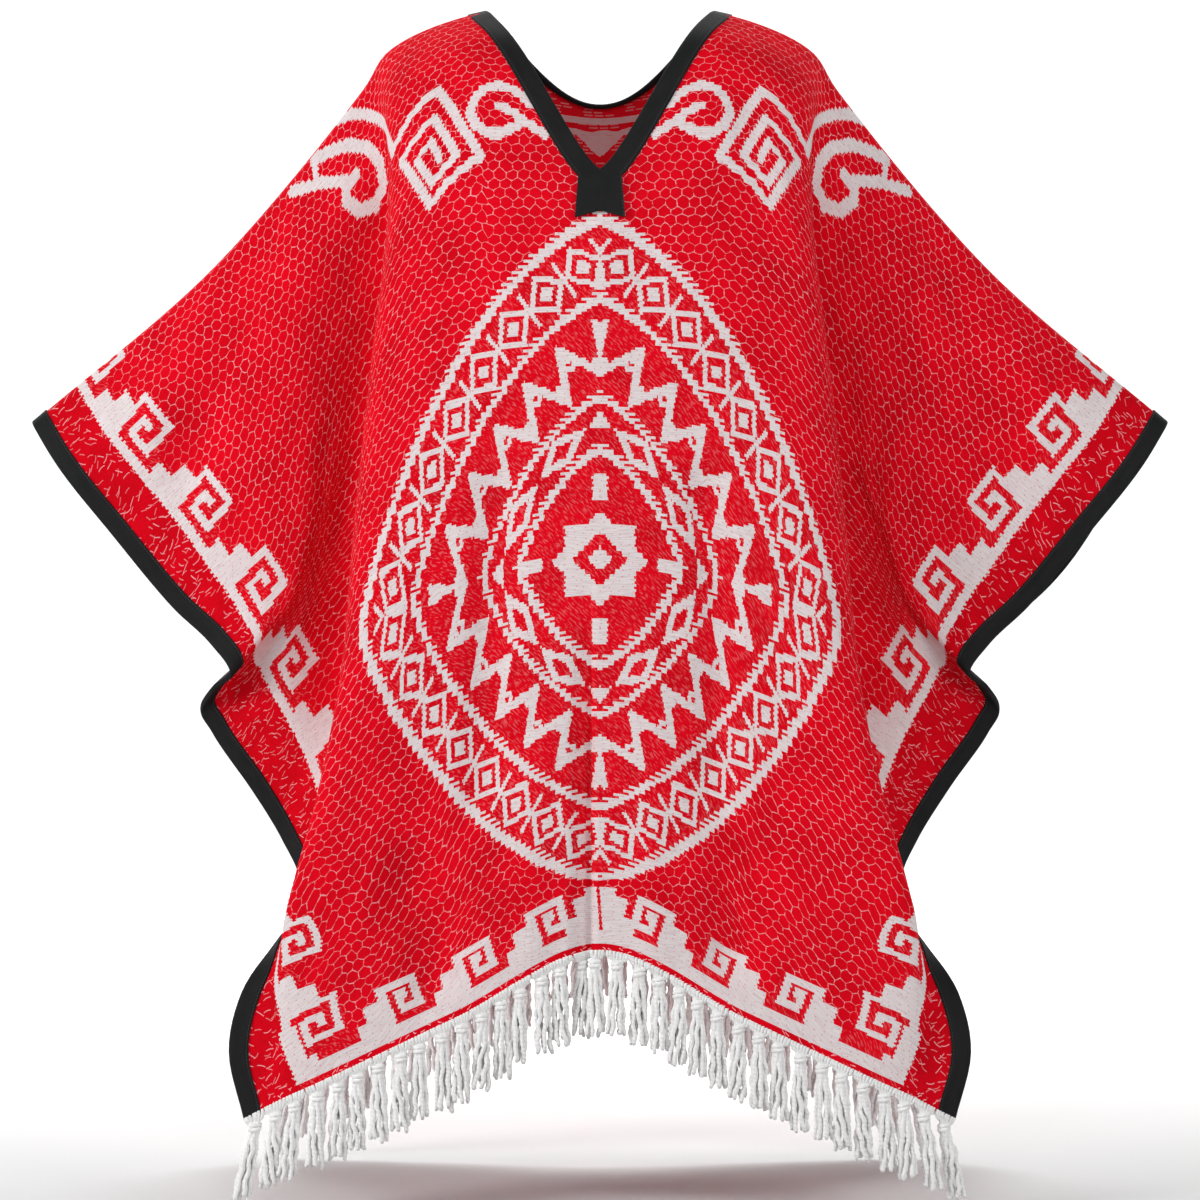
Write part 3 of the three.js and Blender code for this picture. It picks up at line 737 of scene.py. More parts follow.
def loose_strokes(shader, x, y, size, seed):
    """Short white strokes, one in most cells, turned from the threads' way by up to half the spread."""
    u, v = x / size + seed, y / size + seed * 1.7
    cells = shader.cells(u, v, 1.0)
    cell_u, cell_v, _ = shader.parts(cells.outputs["Position"])
    chance_turn, chance_curve, chance_kept = shader.parts(cells.outputs["Color"], "SeparateColor")
    turn = (chance_turn - 0.5) * STROKE_SPREAD
    cosine, sine = turn.cosine(), turn.sine()
    dx, dy = u - cell_u, v - cell_v
    along = dx * cosine + dy * sine
    aside = dy * cosine - dx * sine
    curve = along * along * (chance_curve * 1.6 - 0.8)
    stroke = (aside + curve).near(0.0, STROKE_THICK / size) * along.near(0.0, 0.4)
    return stroke * chance_kept.over(STROKES_KEPT)


def fret_mask(chart, u, v, grow_u, grow_v):
    """One repeating unit of the stepped fret with its square spiral; u and v are in its shares."""
    base = chart[0]
    masks = [v.near((base[2] + base[3]) / 2, (base[3] - base[2]) / 2 + grow_v)]
    masks += [box_mask(u, v, *row, grow_u, grow_v) for row in chart[1:]]
    return either(masks)


def side_fret(shader):
    """The fret along an open side, whose u runs down the edge and v inward, along the threads."""
    threads = Threads(shader, "side")
    inward = threads.s
    v = (inward + threads.shift) / SIDE_HEIGHT
    u = ((threads.t_row - SIDE_START + inward * 0.12) / SIDE_PITCH).fract()
    mask = fret_mask(SIDE_FRET, u, v, 0.0, threads.grow / SIDE_HEIGHT)
    plain = v.near(0.25, 0.25).top(v.near(0.5, 0.5) * u.near(0.64, 0.26))
    return mask * inward.over(-1.5), inward, plain


def hem_fret(shader):
    """The fret along the hem, whose u runs inward along the threads from each unit's outer end."""
    threads = Threads(shader, "hem")
    v = (threads.t_row - HEM_MARGIN) / HEM_HEIGHT
    aside = abs(threads.s) + threads.shift - v * HEM_LEAN
    u = 1 - ((aside - HEM_START) / HEM_PITCH).fract()
    units = fret_mask(HEM_FRET, u, v, threads.grow / HEM_PITCH, 0.0) * aside.over(HEM_START)
    centre = either([
        *(box_mask(aside, v, -60, half, 0, high, threads.grow) for half, high in HEM_CENTRE),
        box_mask(aside, v, -60, 60, 0, HEM_FRET[0][3]),
    ])
    slit = box_mask(threads.s + v * 4, v, 0.5, 3.6, 0.26, 1.1, threads.grow * -0.4)
    plain = (v.under(0.5).top(v.under(1.0) * u.near(0.64, 0.28))) * v.over(0.0)
    return units.top(centre - centre * slit), threads, plain


def shoulder_motifs(shader, threads):
    """A square spiral set on its corner, with a scroll on each side of it, drawn in single strokes."""
    place = shader.pair(abs(threads.s) + threads.shift, abs(threads.t_row))
    nearest = None
    for half_width, points in SHOULDER_STROKES:
        for start, end in zip(points, points[1:]):
            distance = shader.distance_to_line(place, start, end) - half_width
            nearest = distance if nearest is None else nearest.least(distance)
    return (nearest - threads.grow * 0.8).under(0.0)


def lozenge(shader, threads):
    """A large stepped lozenge: nested outlines, rows of small diamonds and zigzags, and a star."""
    step = 2 * THREAD
    across = abs(threads.s) + threads.shift
    down = abs(threads.t_row - LOZENGE_DOWN)
    power = LOZENGE_POWER

    def ring_of(x, y):
        return ((x / LOZENGE_HALF_WIDTH) ** power + (y / LOZENGE_HALF_HEIGHT) ** power) ** (1 / power)

    ring = ring_of(across, down)
    stepped = ring_of((across / step + 0.5).floor() * step, (down / step + 0.5).floor() * step)
    turn = across / LOZENGE_HALF_WIDTH - down / LOZENGE_HALF_HEIGHT
    grow = threads.grow * 0.005

    def line(middle, half, field=stepped):
        return field.near(middle, half + grow)

    def diamonds(middle, half_band, count, size, phase=0.0):
        along = abs((turn * count + phase).fract() - 0.5) * 2
        aside = abs(ring - middle) / half_band
        return (along + aside).under(size + grow * 8)

    def zigzag(low, high, count, width):
        wave = abs((turn * count).fract() - 0.5) * 2
        height = (ring - low) / (high - low)
        return (wave * 0.8 + 0.1 - height).near(0.0, width + grow * 4) * height.near(0.5, 0.5)

    outer, inner, core = (diamonds(JEWEL_RING, JEWEL_BAND, LOZENGE_COUNT, size) for size in JEWEL_SIZES)
    jewels = outer - inner
    bars = abs((turn * LOZENGE_COUNT + 0.5).fract() - 0.5).near(0.0, 0.045) * ring.near(JEWEL_RING, 0.072)
    studs = diamonds(0.62, 0.05, LOZENGE_COUNT, 0.6, 0.5) - diamonds(0.62, 0.05, LOZENGE_COUNT, 0.2, 0.5)
    buds = diamonds(0.565, 0.045, LOZENGE_COUNT, 0.55)
    small = diamonds(0.4, 0.06, 3.0, 0.95) - diamonds(0.4, 0.06, 3.0, 0.45)
    star = (across.top(down).under(34 + threads.grow)).top((across + down).under(47 + threads.grow))
    heart = (across + down).under(27 + threads.grow) - (across + down).under(12 + threads.grow)
    tall_tip = box_mask(across, down, -1, 7, 58, 84, threads.grow)
    wide_tip = box_mask(across, down, 56, 78, -1, 7, threads.grow)
    return either([
        line(0.982, 0.019), jewels, core, bars, line(0.752, 0.014),
        zigzag(0.5, 0.7, LOZENGE_COUNT, 0.16), studs, buds,
        line(0.468, 0.012), small, line(0.318, 0.014), star - heart, tall_tip.top(wide_tip),
    ]), ring


def cloth_material(name, parts=()):
    """The outer face of the cloth: red ground with its net, and the woven figures of the named parts."""
    shader = Shader(name)
    threads = Threads(shader)
    s, t = shader.uv("net")
    net = hex_net(shader, s, t)
    figure, plain = None, None
    if "lozenge" in parts:
        figure, ring = lozenge(shader, threads)
        plain = ring.under(1.0)
    if "shoulder" in parts:
        figure = shoulder_motifs(shader, threads)
    if "side" in parts:
        figure, inward, plain = side_fret(shader)
        strokes = loose_strokes(shader, s, t, 11.0, 2.3).top(loose_strokes(shader, s, t, 8.5, 7.9) * 0.6)
        margin = inward.under(0.0)
        net = net * 0.7 + (strokes * 0.8 - net * 0.7) * margin
    if "hem" in parts:
        hem, rows, hem_plain = hem_fret(shader)
        if "side" in parts:
            base = rows.t_row.near(HEM_MARGIN + HEM_BASE / 2, HEM_BASE / 2) * inward.over(0.0)
            block = box_mask(inward, rows.t_row, -4, 15, HEM_MARGIN, 62, rows.grow)
            figure = figure * rows.t_row.over(HEM_MARGIN + HEM_BASE)
            hem = hem * inward.over(SIDE_HEIGHT + 8)
            figure = either([figure, base, block, hem])
            plain = plain.top(hem_plain * inward.over(0.0))
        else:
            figure, plain = hem, hem_plain
        loops = loose_strokes(shader, s, t, 5.5, 4.1)
        net = net + (loops - net) * rows.t.under(HEM_MARGIN)
    if plain is not None:
        faint = shader.noise((s + t) / 9, (s - t) / 2.2) * 1.4 - 0.76
        net = net + (faint.least(0.22).top(0.0) - net) * plain
    streaks = shader.noise(s / 9, t / 1.15, 2.0)
    patches = shader.noise(s / 45 + 9, t / 45 + 5)
    depth = patches * 1.6 - 0.5 + (streaks - 0.5) * 0.9
    if "side" in parts:
        depth = depth + margin * 0.5
    red = shader.mix(depth.unit(), RED, DEEP_RED)
    colour = shader.mix(net, red, NET_PINK)
    if figure is not None:
        lines = (shader.noise(s / 16 + 2, t / 1.05 + 8) * 3.4 - 1.35).unit()
        ticks = shader.cells(s / 9.0, t / 5.2, 0.6)
        tick = Field(shader, ticks.outputs["Distance"]).under(0.09)
        white = shader.mix(lines * 0.62, WHITE, WHITE_LINE)
        white = shader.mix(tick * 0.55, white, DEEP_RED)
        colour = shader.mix(figure, colour, white)
    height = streaks + shader.noise(s / 2.1, t / 7.5 + 3) * 0.7
    return shader.finish(colour, CLOTH_FINISH, shader.bump(height, 0.0006, 0.55))


INSIDE_ROW = 3.4


def inside_material():
    """The cloth's other face: red with the short loose ends of the white threads in rows."""
    shader = Shader("cloth_inside")
    s, t = shader.uv("cloth")
    row = (t / INSIDE_ROW).floor()
    run = s / 11 + shader.random(row, 1.3) * 17
    dash = shader.random(run.floor(), row).over(0.55) * run.fract().near(0.5, 0.4)
    dash = dash * (t / INSIDE_ROW).fract().near(0.5, 0.22)
    back = t.under(0.0)
    depth = abs(t)
    wave = shader.noise(s / 14, row * 0.7) * 5
    band = depth.near(127, 3.5) + depth.near(138 + wave, 3.0)
    wedge = (abs(s) + (depth - 144 + wave) * 1.05).under(26.0) * depth.near(157, 14)
    pale = (band + wedge).least(1.0) * back
    streaks = shader.noise(s / 9, t / 1.15, 2.0)
    # Painted light: the inside's red is painted lighter than the outer face's red
    red = shader.mix(streaks * 0.5, PAINTED_LIGHT_INSIDE_RED, RED)
    red = shader.mix(dash * 0.75, red, NET_PINK)
    lines = (streaks * 3.0 - 1.2).unit()
    white = shader.mix(lines * 0.6, WHITE, NET_PINK)
    colour = shader.mix(pale * 0.95, red, white)
    return shader.finish(colour, CLOTH_FINISH, shader.bump(streaks, 0.0006, 0.5))


def tape_material():
    """Matt black woven tape with a row of stitches near the edge that lies on the cloth."""
    shader = Shader("black_binding")
    along, across = shader.uv("tape")
    weave = shader.noise(along / 0.8, across / 2.4, 2.0)
    patches = shader.noise(along / 30, across / 9)
    stitch = across.near(16.2, 0.55) * (along / 3.4).fract().near(0.5, 0.34)
    colour = shader.mix(stitch, shader.mix(patches, TAPE_BLACK, TAPE_GREY), STITCH_GREY)
    return shader.finish(colour, TAPE_FINISH, shader.bump(weave + stitch * 1.5, 0.0004, 0.6))


def yarn_material():
    """Off-white wool yarn with its two twisted plies and a little fuzz."""
    shader = Shader("white_wool")
    around, along = shader.uv("yarn")
    ply = abs((along / 4.2 + around).fract() - 0.5) * 2
    fuzz = shader.noise(along * 1.7, around * 9, 3.0)
    shade = (ply * 0.55 + fuzz * 0.75 - 0.35).unit()
    colour = shader.mix(shade, YARN_SHADE, YARN_LIGHT)
    return shader.finish(colour, YARN_FINISH, shader.bump(ply + fuzz * 0.8, 0.0006, 0.6))


# Bindings

TAPE_STEPS = 5
SIDE_TAPE_ROWS = 150
# How far the tape's inner leg reaches, as a share of its width: at most, and at the back of the neck
FULL_LEG, BACK_LEG = 0.9, 0.14
SIDE_LEG = 0.92


def walk_inward(face, across, down, sign, distances):
    """Places on the cloth at each distance in from a neck edge place, square to that edge."""
    places = [(across.copy(), down.copy())]
    a, d = across.copy(), down.copy()
    edge = neck_direction(face, across, sign)
    h = 0.002
    for step in np.diff(np.concatenate([[0], distances])):
        here = cloth_points(face, a, d)
        da = (cloth_points(face, a + sign * h, d) - here) / h
        dd = (cloth_points(face, a, np.minimum(d + h, 1)) - here) / h
        inward = da - edge * np.sum(da * edge, axis=1, keepdims=True)
        inward_d = dd - edge * np.sum(dd * edge, axis=1, keepdims=True)
        way = unit(unit(inward) + unit(inward_d)) * step
        aa, ad, bb = (np.sum(u * v, axis=1) for u, v in ((da, da), (da, dd), (dd, dd)))
        ra, rd = np.sum(da * way, axis=1), np.sum(dd * way, axis=1)
        det = aa * bb - ad * ad
        a = a + sign * (ra * bb - rd * ad) / det
        d = d + (aa * rd - ad * ra) / det
        places.append((a.copy(), d.copy()))
    return places[1:]


def neck_direction(face, across, sign):
    """The way along the neck edge at each of its places."""
    share = np.abs(across) / NECK_SHARE
    low, high = np.clip(share - 0.02, 0, 1), np.clip(share + 0.02, 0, 1)
    start = cloth_points(face, sign * low * NECK_SHARE, neck_down(face, low))
    end = cloth_points(face, sign * high * NECK_SHARE, neck_down(face, high))
    return unit(end - start)


# The tape's cross-section: distance in from the cloth's edge, and height over its middle surface
TAPE_OUTSIDE = (
    (1.0, 1.5), (1.0, 2.2), (0.985, 2.6), (0.93, 2.95), (0.885, 2.85), (0.86, 2.62), (0.83, 2.8),
    (0.7, 2.75), (0.45, 2.7), (0.2, 2.75), (0.06, 2.8),
)
TAPE_NOSE = ((-0.035, 2.45), (-0.078, 1.4), (-0.085, 0.0), (-0.078, -1.4), (-0.035, -2.45))
TAPE_INSIDE = ((0.06, -2.7), (0.45, -2.7), (0.97, -2.65), (1.0, -2.2), (1.0, -1.5))
TAPE_POCKET = ((0.5, -1.5), (0.0, -1.5), (-0.016, 0.0), (0.0, 1.5), (0.5, 1.5))
SECTION = TAPE_OUTSIDE + TAPE_NOSE + TAPE_INSIDE + TAPE_POCKET
INNER_LEG = range(len(TAPE_OUTSIDE) + len(TAPE_NOSE), len(SECTION) - 3)


def tape_rings(stations, width, leg_shares):
    """One ring for each place along the edge. stations lists (points, normals) from the edge inward."""
    points = np.stack([p for p, _ in stations], axis=1)
    normals = np.stack([n for _, n in stations], axis=1)
    steps = len(stations) - 1
    out = unit(points[:, 0] - points[:, 1])
    rings = np.empty((len(points), len(SECTION), 3))
    for k, (share, height) in enumerate(SECTION):
        reach = np.full(len(points), share)
        if k in INNER_LEG and share > 0.06:
            reach = reach * leg_shares
        at = np.clip(reach, 0, 1) * steps
        i = np.minimum(at.astype(int), steps - 1)
        f = (at - i)[:, None]
        which = np.arange(len(points))
        place = points[which, i] * (1 - f) + points[which, i + 1] * f
        normal = normals[which, i] * (1 - f) + normals[which, i + 1] * f
        if share < 0:
            place = place - out * share * width
        rings[:, k] = place + normal * height
    return rings


def sweep(name, rings, closed, width):
    """A tube through the rings, with a UV map of millimetres along and across the tape."""
    count, size = rings.shape[:2]
    faces = []
    for r in range(count if closed else count - 1):
        n = (r + 1) % count
        for k in range(size):
            j = (k + 1) % size
            faces.append((r * size + k, r * size + j, n * size + j, n * size + k))
    if not closed:
        faces.append(tuple(range(size)))
        faces.append(tuple(range((count - 1) * size, count * size)))
    made = make_object(name, rings.reshape(-1, 3), faces)
    run = length_run(rings.mean(axis=1))
    shares = np.array([row[0] for row in SECTION])
    pairs = np.stack(np.broadcast_arrays(run[:, None], shares[None, :] * width), axis=-1)
    add_uv(made, "tape", pairs.reshape(-1, 2) * MM)
    face_outward(made)
    return made


def crease_station(sign, across):
    points, normals = cloth_frames("front", sign * across, np.zeros(len(across)))
    return points * (1, 0, 1), normals


def neck_half(face, sign, columns, distances):
    """Stations of one quarter of the neck tape, from next to the crease to next to the middle."""
    share = columns / NECK_COLUMNS
    across = sign * NECK_SHARE * share
    down = neck_down(face, share)
    places = [(across, down)] + walk_inward(face, across, down, sign, distances)
    return [cloth_frames(face, a, np.clip(d, 0, 1)) for a, d in places]


def neck_binding():
    """Tape all round the neck: each quarter follows a shoulder crease or the middle of a face."""
    distances = np.linspace(0, NECK_TAPE_WIDTH, TAPE_STEPS + 1)[1:]
    columns = np.arange(NECK_COLUMNS - 1, 0, -1).astype(float)
    corner = NECK_SHARE + np.concatenate([[0], distances]) / half_length(0.0)
    groups, legs = [], []
    for face, sign in (("front", 1), ("front", -1), ("back", -1), ("back", 1)):
        least = BACK_LEG if face == "back" else FULL_LEG
        if (face == "front") == (sign > 0):
            order = columns
            groups.append([crease_station(sign, np.array([across])) for across in corner])
            legs.append([FULL_LEG])
        else:
            order = columns[::-1]
            groups.append(middle_station(face, distances))
            legs.append([least])
        groups.append(neck_half(face, sign, order, distances))
        legs.append(least + (FULL_LEG - least) * (order / NECK_COLUMNS) ** 2.5)
    stations = [
        tuple(np.concatenate([group[k][part] for group in groups]) for part in (0, 1))
        for k in range(len(distances) + 1)
    ]
    rings = tape_rings(stations, NECK_TAPE_WIDTH, np.concatenate(legs))
    return sweep("neck_tape", rings, True, NECK_TAPE_WIDTH)


def middle_station(face, distances):
    """The neck tape at the middle of one face: straight down from the edge."""
    depth, _ = NECK[face]
    widest = 15 if face == "front" else NECK_TAPE_WIDTH
    steps = np.concatenate([[0], distances]) / NECK_TAPE_WIDTH * widest / LENGTH
    return [cloth_frames(face, np.zeros(1), np.array([depth + step])) for step in steps]


def side_binding(name, sign):
    downs = np.concatenate([ROLL_ROWS[1:], np.linspace(ROLL_END, 1, SIDE_TAPE_ROWS)[1:]])
    stations = []
    for distance in np.linspace(0, SIDE_TAPE_WIDTH, TAPE_STEPS + 1):
        front, back = (
            cloth_frames(face, sign * (1 - distance / half_length(order)), order)
            for face, order in (("front", downs[::-1]), ("back", downs))
        )
        crease = crease_station(sign, np.array([1 - distance / half_length(0.0)]))
        stations.append(tuple(np.concatenate([part[k] for part in (front, crease, back)]) for k in (0, 1)))
    leg_shares = np.full(len(stations[0][0]), SIDE_LEG)
    return sweep(name, tape_rings(stations, SIDE_TAPE_WIDTH, leg_shares), False, SIDE_TAPE_WIDTH)


# The tab over the point of the V
TAB_HALF_WIDTH, TAB_NARROW, TAB_FLARE = 23, 0.93, 0.19
TAB_TOP, TAB_HEIGHT, TAB_NOTCH, TAB_THICK = 6, 41, 7, 1.6
TAB_COLUMNS, TAB_ROWS = 40, 36


def neck_tab():
    """A stitched square of tape, puffed between its seams, with a notched lower edge."""
    side = np.linspace(-1, 1, TAB_COLUMNS + 1)[None, :]
    low = np.linspace(0, 1, TAB_ROWS + 1)[:, None]
    apex = NECK["front"][0]
    across = TAB_HALF_WIDTH * (TAB_NARROW + TAB_FLARE * low) * side / half_length(apex)
    notch = TAB_NOTCH * low * (1 - np.abs(side))
    down = apex + (TAB_TOP + TAB_HEIGHT * low - notch) / LENGTH
    points, normals = cloth_frames("front", across.ravel(), down.ravel())
    normal = normals.mean(axis=0)
    rim = np.minimum(np.minimum(1 - np.abs(side), 0.03 + low), 1 - low)
    puff = 0.9 * (1 - np.exp(-np.maximum(rim, 0) / 0.07))
    seam = -0.5 * np.exp(-(side / 0.05) ** 2) * smooth_step((low - 0.1) / 0.3)
    fold = -0.55 * np.exp(-((low - 0.06) / 0.03) ** 2)
    rest = CLOTH / 2 + TAPE + 3 * GAP
    height = (rest + TAB_THICK + puff + seam + fold).ravel()[:, None]
    front, behind = points + normal * height, points + normal * rest
    made, _, _ = grid_shell("neck_square", front, behind, TAB_ROWS + 1, TAB_COLUMNS + 1)
    pairs = np.stack(np.broadcast_arrays(low * TAB_HEIGHT + 30, (side + 1) * 8.2), axis=-1).reshape(-1, 2)
    add_uv(made, "tape", np.concatenate([pairs, pairs]) * MM)
    face_outward(made)
    return made


# Fringe

class Yarns:
    """Collects round yarns into one mesh."""

    def __init__(self):
        self.points = []
        self.faces = []
        self.uv = []
        self.count = 0

    def tube(self, path, radii, sides=7, lobes=0.0, pitch=9.0):
        """A yarn along a path in millimetres; lobes above 0 gives its two plies, twisted."""
        path = np.asarray(path, float)
        rows = len(path)
        radii = np.broadcast_to(np.asarray(radii, float), rows)
        tangent = unit(np.gradient(path, axis=0))
        first = unit(np.cross(tangent, YARN_ASIDE))
        second = np.cross(tangent, first)
        run = length_run(path)[:, None]
        angle = np.arange(sides)[None, :] / sides * math.tau
        size = radii[:, None] * (1 + lobes * np.cos(2 * (angle - run / pitch * math.tau)))
        ring = (
            path[:, None, :]
            + first[:, None, :] * (np.cos(angle) * size)[..., None]
            + second[:, None, :] * (np.sin(angle) * size)[..., None]
        )
        self.points.append(ring.reshape(-1, 3))
        pairs = np.stack(np.broadcast_arrays(angle / math.tau, run), axis=-1)
        self.uv.append(pairs.reshape(-1, 2) * MM)
        base = self.count
        for r in range(rows - 1):
            at = base + r * sides
            for k in range(sides):
                j = (k + 1) % sides
                self.faces.append((at + k, at + j, at + sides + j, at + sides + k))
        self.faces.append(tuple(base + k for k in range(sides)))
        self.faces.append(tuple(base + (rows - 1) * sides + k for k in range(sides)))
        self.count += rows * sides

    def build(self, name):
        made = make_object(name, np.concatenate(self.points), self.faces)
        add_uv(made, "yarn", np.concatenate(self.uv))
        face_outward(made, sharp=False)
        return made


def hem_run(face):
    """The hem's places, normals, ways down and length run, from the left side to the right."""
    across = np.linspace(-1, 1, 801)
    points, normals = cloth_frames(face, across, np.ones(801))
    above, _ = cloth_frames(face, across, np.full(801, 0.985))
    return points, normals, unit(points - above), length_run(points)


def hem_frame(hem, at):
    """The hem's place, normal and way down at a length run along it."""
    *blocks, run = hem
    return [np.array([np.interp(at, run, block[:, k]) for k in range(3)]) for block in blocks]


TASSEL_LENGTH = 84
KNOT_BELOW = 11.5
STRANDS = (-9.6, -6.6, -3.4, 0.0, 3.2, 6.5, 9.8)
YARNS_IN_TASSEL = 6
YARN_RADIUS = 2.35
# A way that no yarn runs along, from which each yarn's rings are set up
YARN_ASIDE = (0.31, 0.93, 0.2)
WIDE, UP = np.array([1.0, 0.0, 0.0]), np.array([0.0, 0.0, 1.0])
DEEP = {"front": np.array([0.0, -1.0, 0.0]), "back": np.array([0.0, 1.0, 0.0])}


def add_tassel(yarns, hem, number, face, chance):
    """One tassel: strands gathered from the hem into a knot, and twisted yarns hanging below it."""
    run = hem[3]
    share = (number + 0.5) / TASSELS
    at = share * run[-1] + chance.uniform(-1.2, 1.2)
    root, _, way_down = hem_frame(hem, at)
    side = 2 * share - 1
    lean = np.array([
        20 * side ** 7 + 2.2 * math.sin(number * 2.3) + chance.uniform(-1.5, 1.5),
        3 * math.sin(number * 1.7), 0.0,
    ])
    knot = root + way_down * 5 - UP * (KNOT_BELOW - 5) + lean * 0.05
    add_strands(yarns, hem, at, knot, DEEP[face], chance)
    add_knot(yarns, knot, DEEP[face], chance)
    add_skirt(yarns, knot, lean, DEEP[face], chance)


def add_strands(yarns, hem, at, knot, deep, chance):
    """The strands that gather from the hem into the knot."""
    run = hem[3]
    for offset in STRANDS:
        offset += chance.uniform(-0.6, 0.6)
        top, out, down = hem_frame(hem, float(np.clip(at + offset, 1.0, run[-1] - 1.0)))
        lift = CLOTH / 2 + 0.9
        path = [
            top - down * 1.3 + out * lift,
            top + down * 0.6 + out * (lift + 0.4),
            top + down * 3.2 + out * 1.2 + (knot - top) * 0.16,
            top * 0.45 + knot * 0.55 + deep * 0.8,
            knot + WIDE * offset * 0.3 + deep * 0.6,
        ]
        yarns.tube(smooth_path(path, 11), 1.8, 6, 0.12, 7.0)


def add_skirt(yarns, knot, lean, deep, chance):
    """The yarns that hang below the knot, swaying a little and turned round each other."""
    start_angle = chance.uniform(0, math.tau)
    turns = chance.uniform(-0.55, 0.55)
    for k in range(YARNS_IN_TASSEL):
        length = TASSEL_LENGTH - KNOT_BELOW + chance.uniform(-7.0, 0.0)
        hang = np.linspace(0, length, 25)
        spread = 2.6 + 2.2 * smooth_step(hang / 30) + 1.9 * (hang / length) ** 2
        wave = chance.uniform(0.4, 1.0)
        beat = hang / chance.uniform(15, 26) * math.tau
        phase = chance.uniform(0, math.tau)
        turned = start_angle + k * math.tau / YARNS_IN_TASSEL + turns * math.tau * hang / 85
        sway = wave * np.sin(beat + phase) * smooth_step(hang / 16)
        path = (
            knot
            + WIDE * (np.cos(turned) * spread * 1.15 + sway)[:, None]
            + deep * (np.sin(turned) * spread * 0.8 + 0.5 * np.cos(beat + phase))[:, None]
            - UP * hang[:, None]
            + lean * (hang / 85)[:, None]
        )
        thick = YARN_RADIUS + 0.25 * np.sin(hang / 9 + phase)
        thick[-2:] *= (0.95, 0.6)
        yarns.tube(path, thick, 8, 0.16, 11.0)


def add_knot(yarns, centre, deep, chance):
    """Two turns of yarn wrapped round the gathered strands."""
    tilt = chance.uniform(-0.5, 0.5)
    for turn, level in ((0, 1.9), (1, -1.9)):
        angle = np.linspace(0, math.tau * 1.02, 15) + turn * 2.4
        path = (
            centre
            + WIDE * (np.cos(angle) * 4.3)[:, None]
            + deep * (np.sin(angle) * 3.5)[:, None]
            + UP * (level + np.cos(angle) * (0.9 + tilt))[:, None]
        )
        yarns.tube(path, 2.5, 7, 0.1, 8.0)
    core = centre + np.outer(np.linspace(5.5, -6.5, 7), UP)
    yarns.tube(core, (2.2, 3.2, 3.9, 4.1, 3.9, 3.4, 3.0), 8)


def smooth_path(points, count):
    """A curve through a few points, with evenly spaced places on it."""
    points = np.asarray(points, float)
    ends = np.concatenate([[2 * points[0] - points[1]], points, [2 * points[-1] - points[-2]]])
    at = np.linspace(0, len(points) - 1.0001, count)
    i = at.astype(int)
    u = (at - i)[:, None]
    p0, p1, p2, p3 = (ends[i + k] for k in range(4))
    return 0.5 * (
        2 * p1 + (p2 - p0) * u + (2 * p0 - 5 * p1 + 4 * p2 - p3) * u ** 2
        + (3 * p1 - p0 - 3 * p2 + p3) * u ** 3
    )


def make_fringe(face):
    yarns = Yarns()
    hem = hem_run(face)
    chance = np.random.default_rng(11 if face == "front" else 23)
    points, normals, way_down, run = (block[2:-2:4] for block in hem)
    wobble = np.sin(run / 3.1)[:, None]
    yarns.tube(points + way_down * (2.3 + 0.5 * wobble) + normals * 0.3 * wobble, 1.9, 7, 0.2, 6.0)
    for number in range(TASSELS):
        add_tassel(yarns, hem, number, face, chance)
    return yarns.build("fringe_yarns_" + face)


# Stage

FLOOR_BELOW = 0.012
FLOOR_RADIUS, SWEEP_RADIUS, WALL_HEIGHT = 5.0, 2.0, 5.0
STUDIO_SIDES, SWEEP_STEPS = 96, 12


def make_stage(lowest):
    """A pale round studio: a flat floor whose rim sweeps up on all sides, outside every camera."""
    floor_z = lowest - FLOOR_BELOW
    profile = [(FLOOR_RADIUS, 0.0)]
    for turn in np.linspace(0, math.pi / 2, SWEEP_STEPS + 1)[1:]:
        profile.append((FLOOR_RADIUS + SWEEP_RADIUS * math.sin(turn), SWEEP_RADIUS * (1 - math.cos(turn))))
    profile.append((FLOOR_RADIUS + SWEEP_RADIUS, WALL_HEIGHT))
    turns = np.linspace(0, math.tau, STUDIO_SIDES, endpoint=False)
    points = [
        (radius * math.cos(turn), radius * math.sin(turn), floor_z + rise)
        for radius, rise in profile for turn in turns
    ]
    count = len(turns)
    faces = [tuple(range(count))]
    for ring in range(len(profile) - 1):
        for k in range(count):
            low, high = ring * count, (ring + 1) * count
            faces.append((low + k, high + k, high + (k + 1) % count, low + (k + 1) % count))
    stage = make_object("studio", np.array(points) / MM, faces)
    stage.data.materials.append(Shader("studio_white").finish(STUDIO_WHITE, STUDIO_FINISH))
    stage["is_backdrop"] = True


def aim(thing, target):
    thing.rotation_euler = (Vector(target) - thing.location).to_track_quat("-Z", "Y").to_euler()


def add_area(name, place, target, size, power):
    light = bpy.data.lights.new(name, "AREA")
    light.shape = "RECTANGLE"
    light.size, light.size_y = size
    light.energy = power
    made = bpy.data.objects.new(name, light)
    made.location = place
    made.visible_camera = False
    bpy.context.scene.collection.objects.link(made)
    aim(made, target)


WORLD_STRENGTH = 0.1
MIDDLE_OF_CLOTH = (0, 0, -0.55)
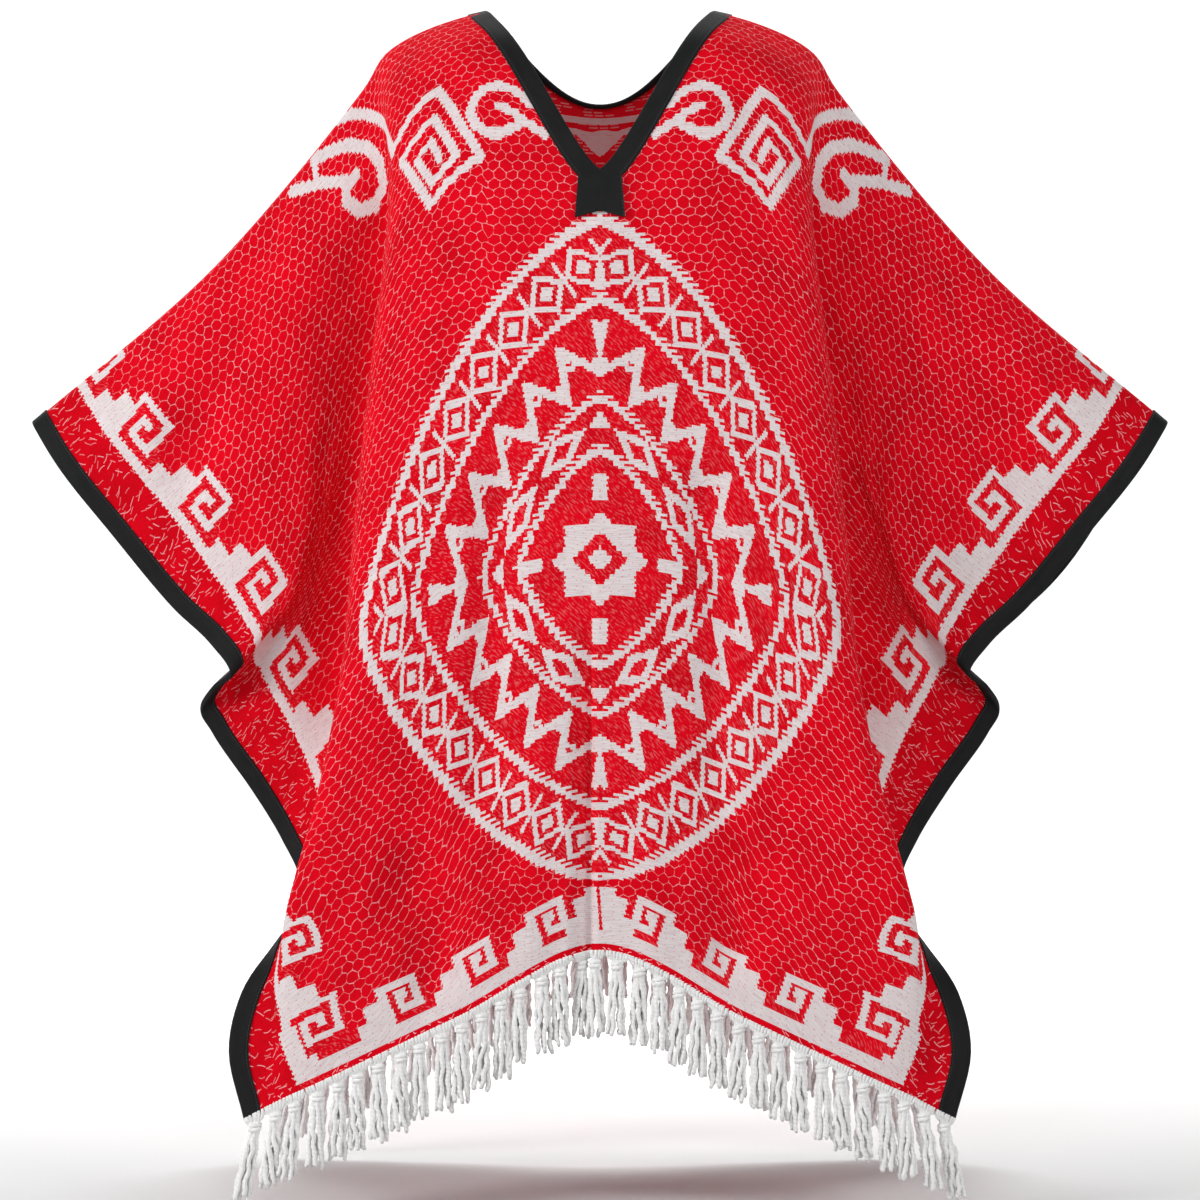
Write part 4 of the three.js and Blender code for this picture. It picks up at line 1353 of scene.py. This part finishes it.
# Name, place, target, size and power of each light
LIGHTS = (
    ("left_light", (-3.4, -1.9, 0.4), MIDDLE_OF_CLOTH, (1.2, 1.8), 88),
    ("right_light", (2.7, -2.7, 0.3), MIDDLE_OF_CLOTH, (1.4, 2.2), 42),
    ("top_light", (-0.3, -2.7, 2.4), (0, 0, -0.4), (1.6, 1.2), 38),
    ("back_left_light", (-2.4, 2.7, 1.1), MIDDLE_OF_CLOTH, (1.5, 1.0), 24),
    ("back_right_light", (2.4, 2.7, 1.1), MIDDLE_OF_CLOTH, (1.5, 1.0), 24),
    ("backdrop_light", (0, 1.4, 2.6), (0, 6.0, 0.4), (3.0, 0.8), 440),
    ("floor_light", (0, 1.9, 2.3), (0, 1.1, -1.2), (3.4, 0.9), 72),
)


def light_scene():
    world = bpy.data.worlds.new("studio")
    world.use_nodes = True
    background = world.node_tree.nodes["Background"]
    background.inputs["Color"].default_value = (1, 1, 1, 1)
    background.inputs["Strength"].default_value = WORLD_STRENGTH
    bpy.context.scene.world = world
    for light in LIGHTS:
        add_area(*light)


CAMERA_PLACE = (0, -3.6, -0.59)
CAMERA_REACH = 50
PHOTO_SIZE = 1200
PIXELS_PER_UNIT_ANGLE = 3540
SENSOR = 36.0


def add_camera():
    camera = bpy.data.cameras.new("camera")
    camera.sensor_width = SENSOR
    camera.lens = SENSOR * PIXELS_PER_UNIT_ANGLE / PHOTO_SIZE
    camera.clip_end = CAMERA_REACH
    made = bpy.data.objects.new("camera", camera)
    made.location = CAMERA_PLACE
    made.rotation_euler = (math.radians(90), 0, 0)
    bpy.context.scene.collection.objects.link(made)
    bpy.context.scene.camera = made


# Putting it together

def dress(piece, node, materials):
    for material in materials:
        piece.data.materials.append(material)
    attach(piece, "root")
    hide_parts(node)


def build():
    cloths = [
        cloth_material("cloth_field"),
        cloth_material("cloth_side_border", ("side",)),
        cloth_material("cloth_hem_border", ("hem",)),
        cloth_material("cloth_corner", ("side", "hem")),
        cloth_material("cloth_lozenge", ("lozenge",)),
        cloth_material("cloth_shoulder", ("shoulder",)),
        inside_material(),
    ]
    tape = tape_material()
    wool = yarn_material()
    for face in ("front", "back"):
        panel = make_panel(face)
        dress(panel, face + "_panel", cloths)
    dress(neck_binding(), "neck_binding", [tape])
    dress(neck_tab(), "neck_tab", [tape])
    for side, sign in (("left", -1), ("right", 1)):
        dress(side_binding("side_tape_" + side, sign), "side_binding_" + side, [tape])
    for face in ("front", "back"):
        fringe = make_fringe(face)
        dress(fringe, "fringe_" + face, [wool])


bpy.context.scene.view_settings.view_transform = "Standard"
build()
make_stage(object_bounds()[0][2])
light_scene()
add_camera()
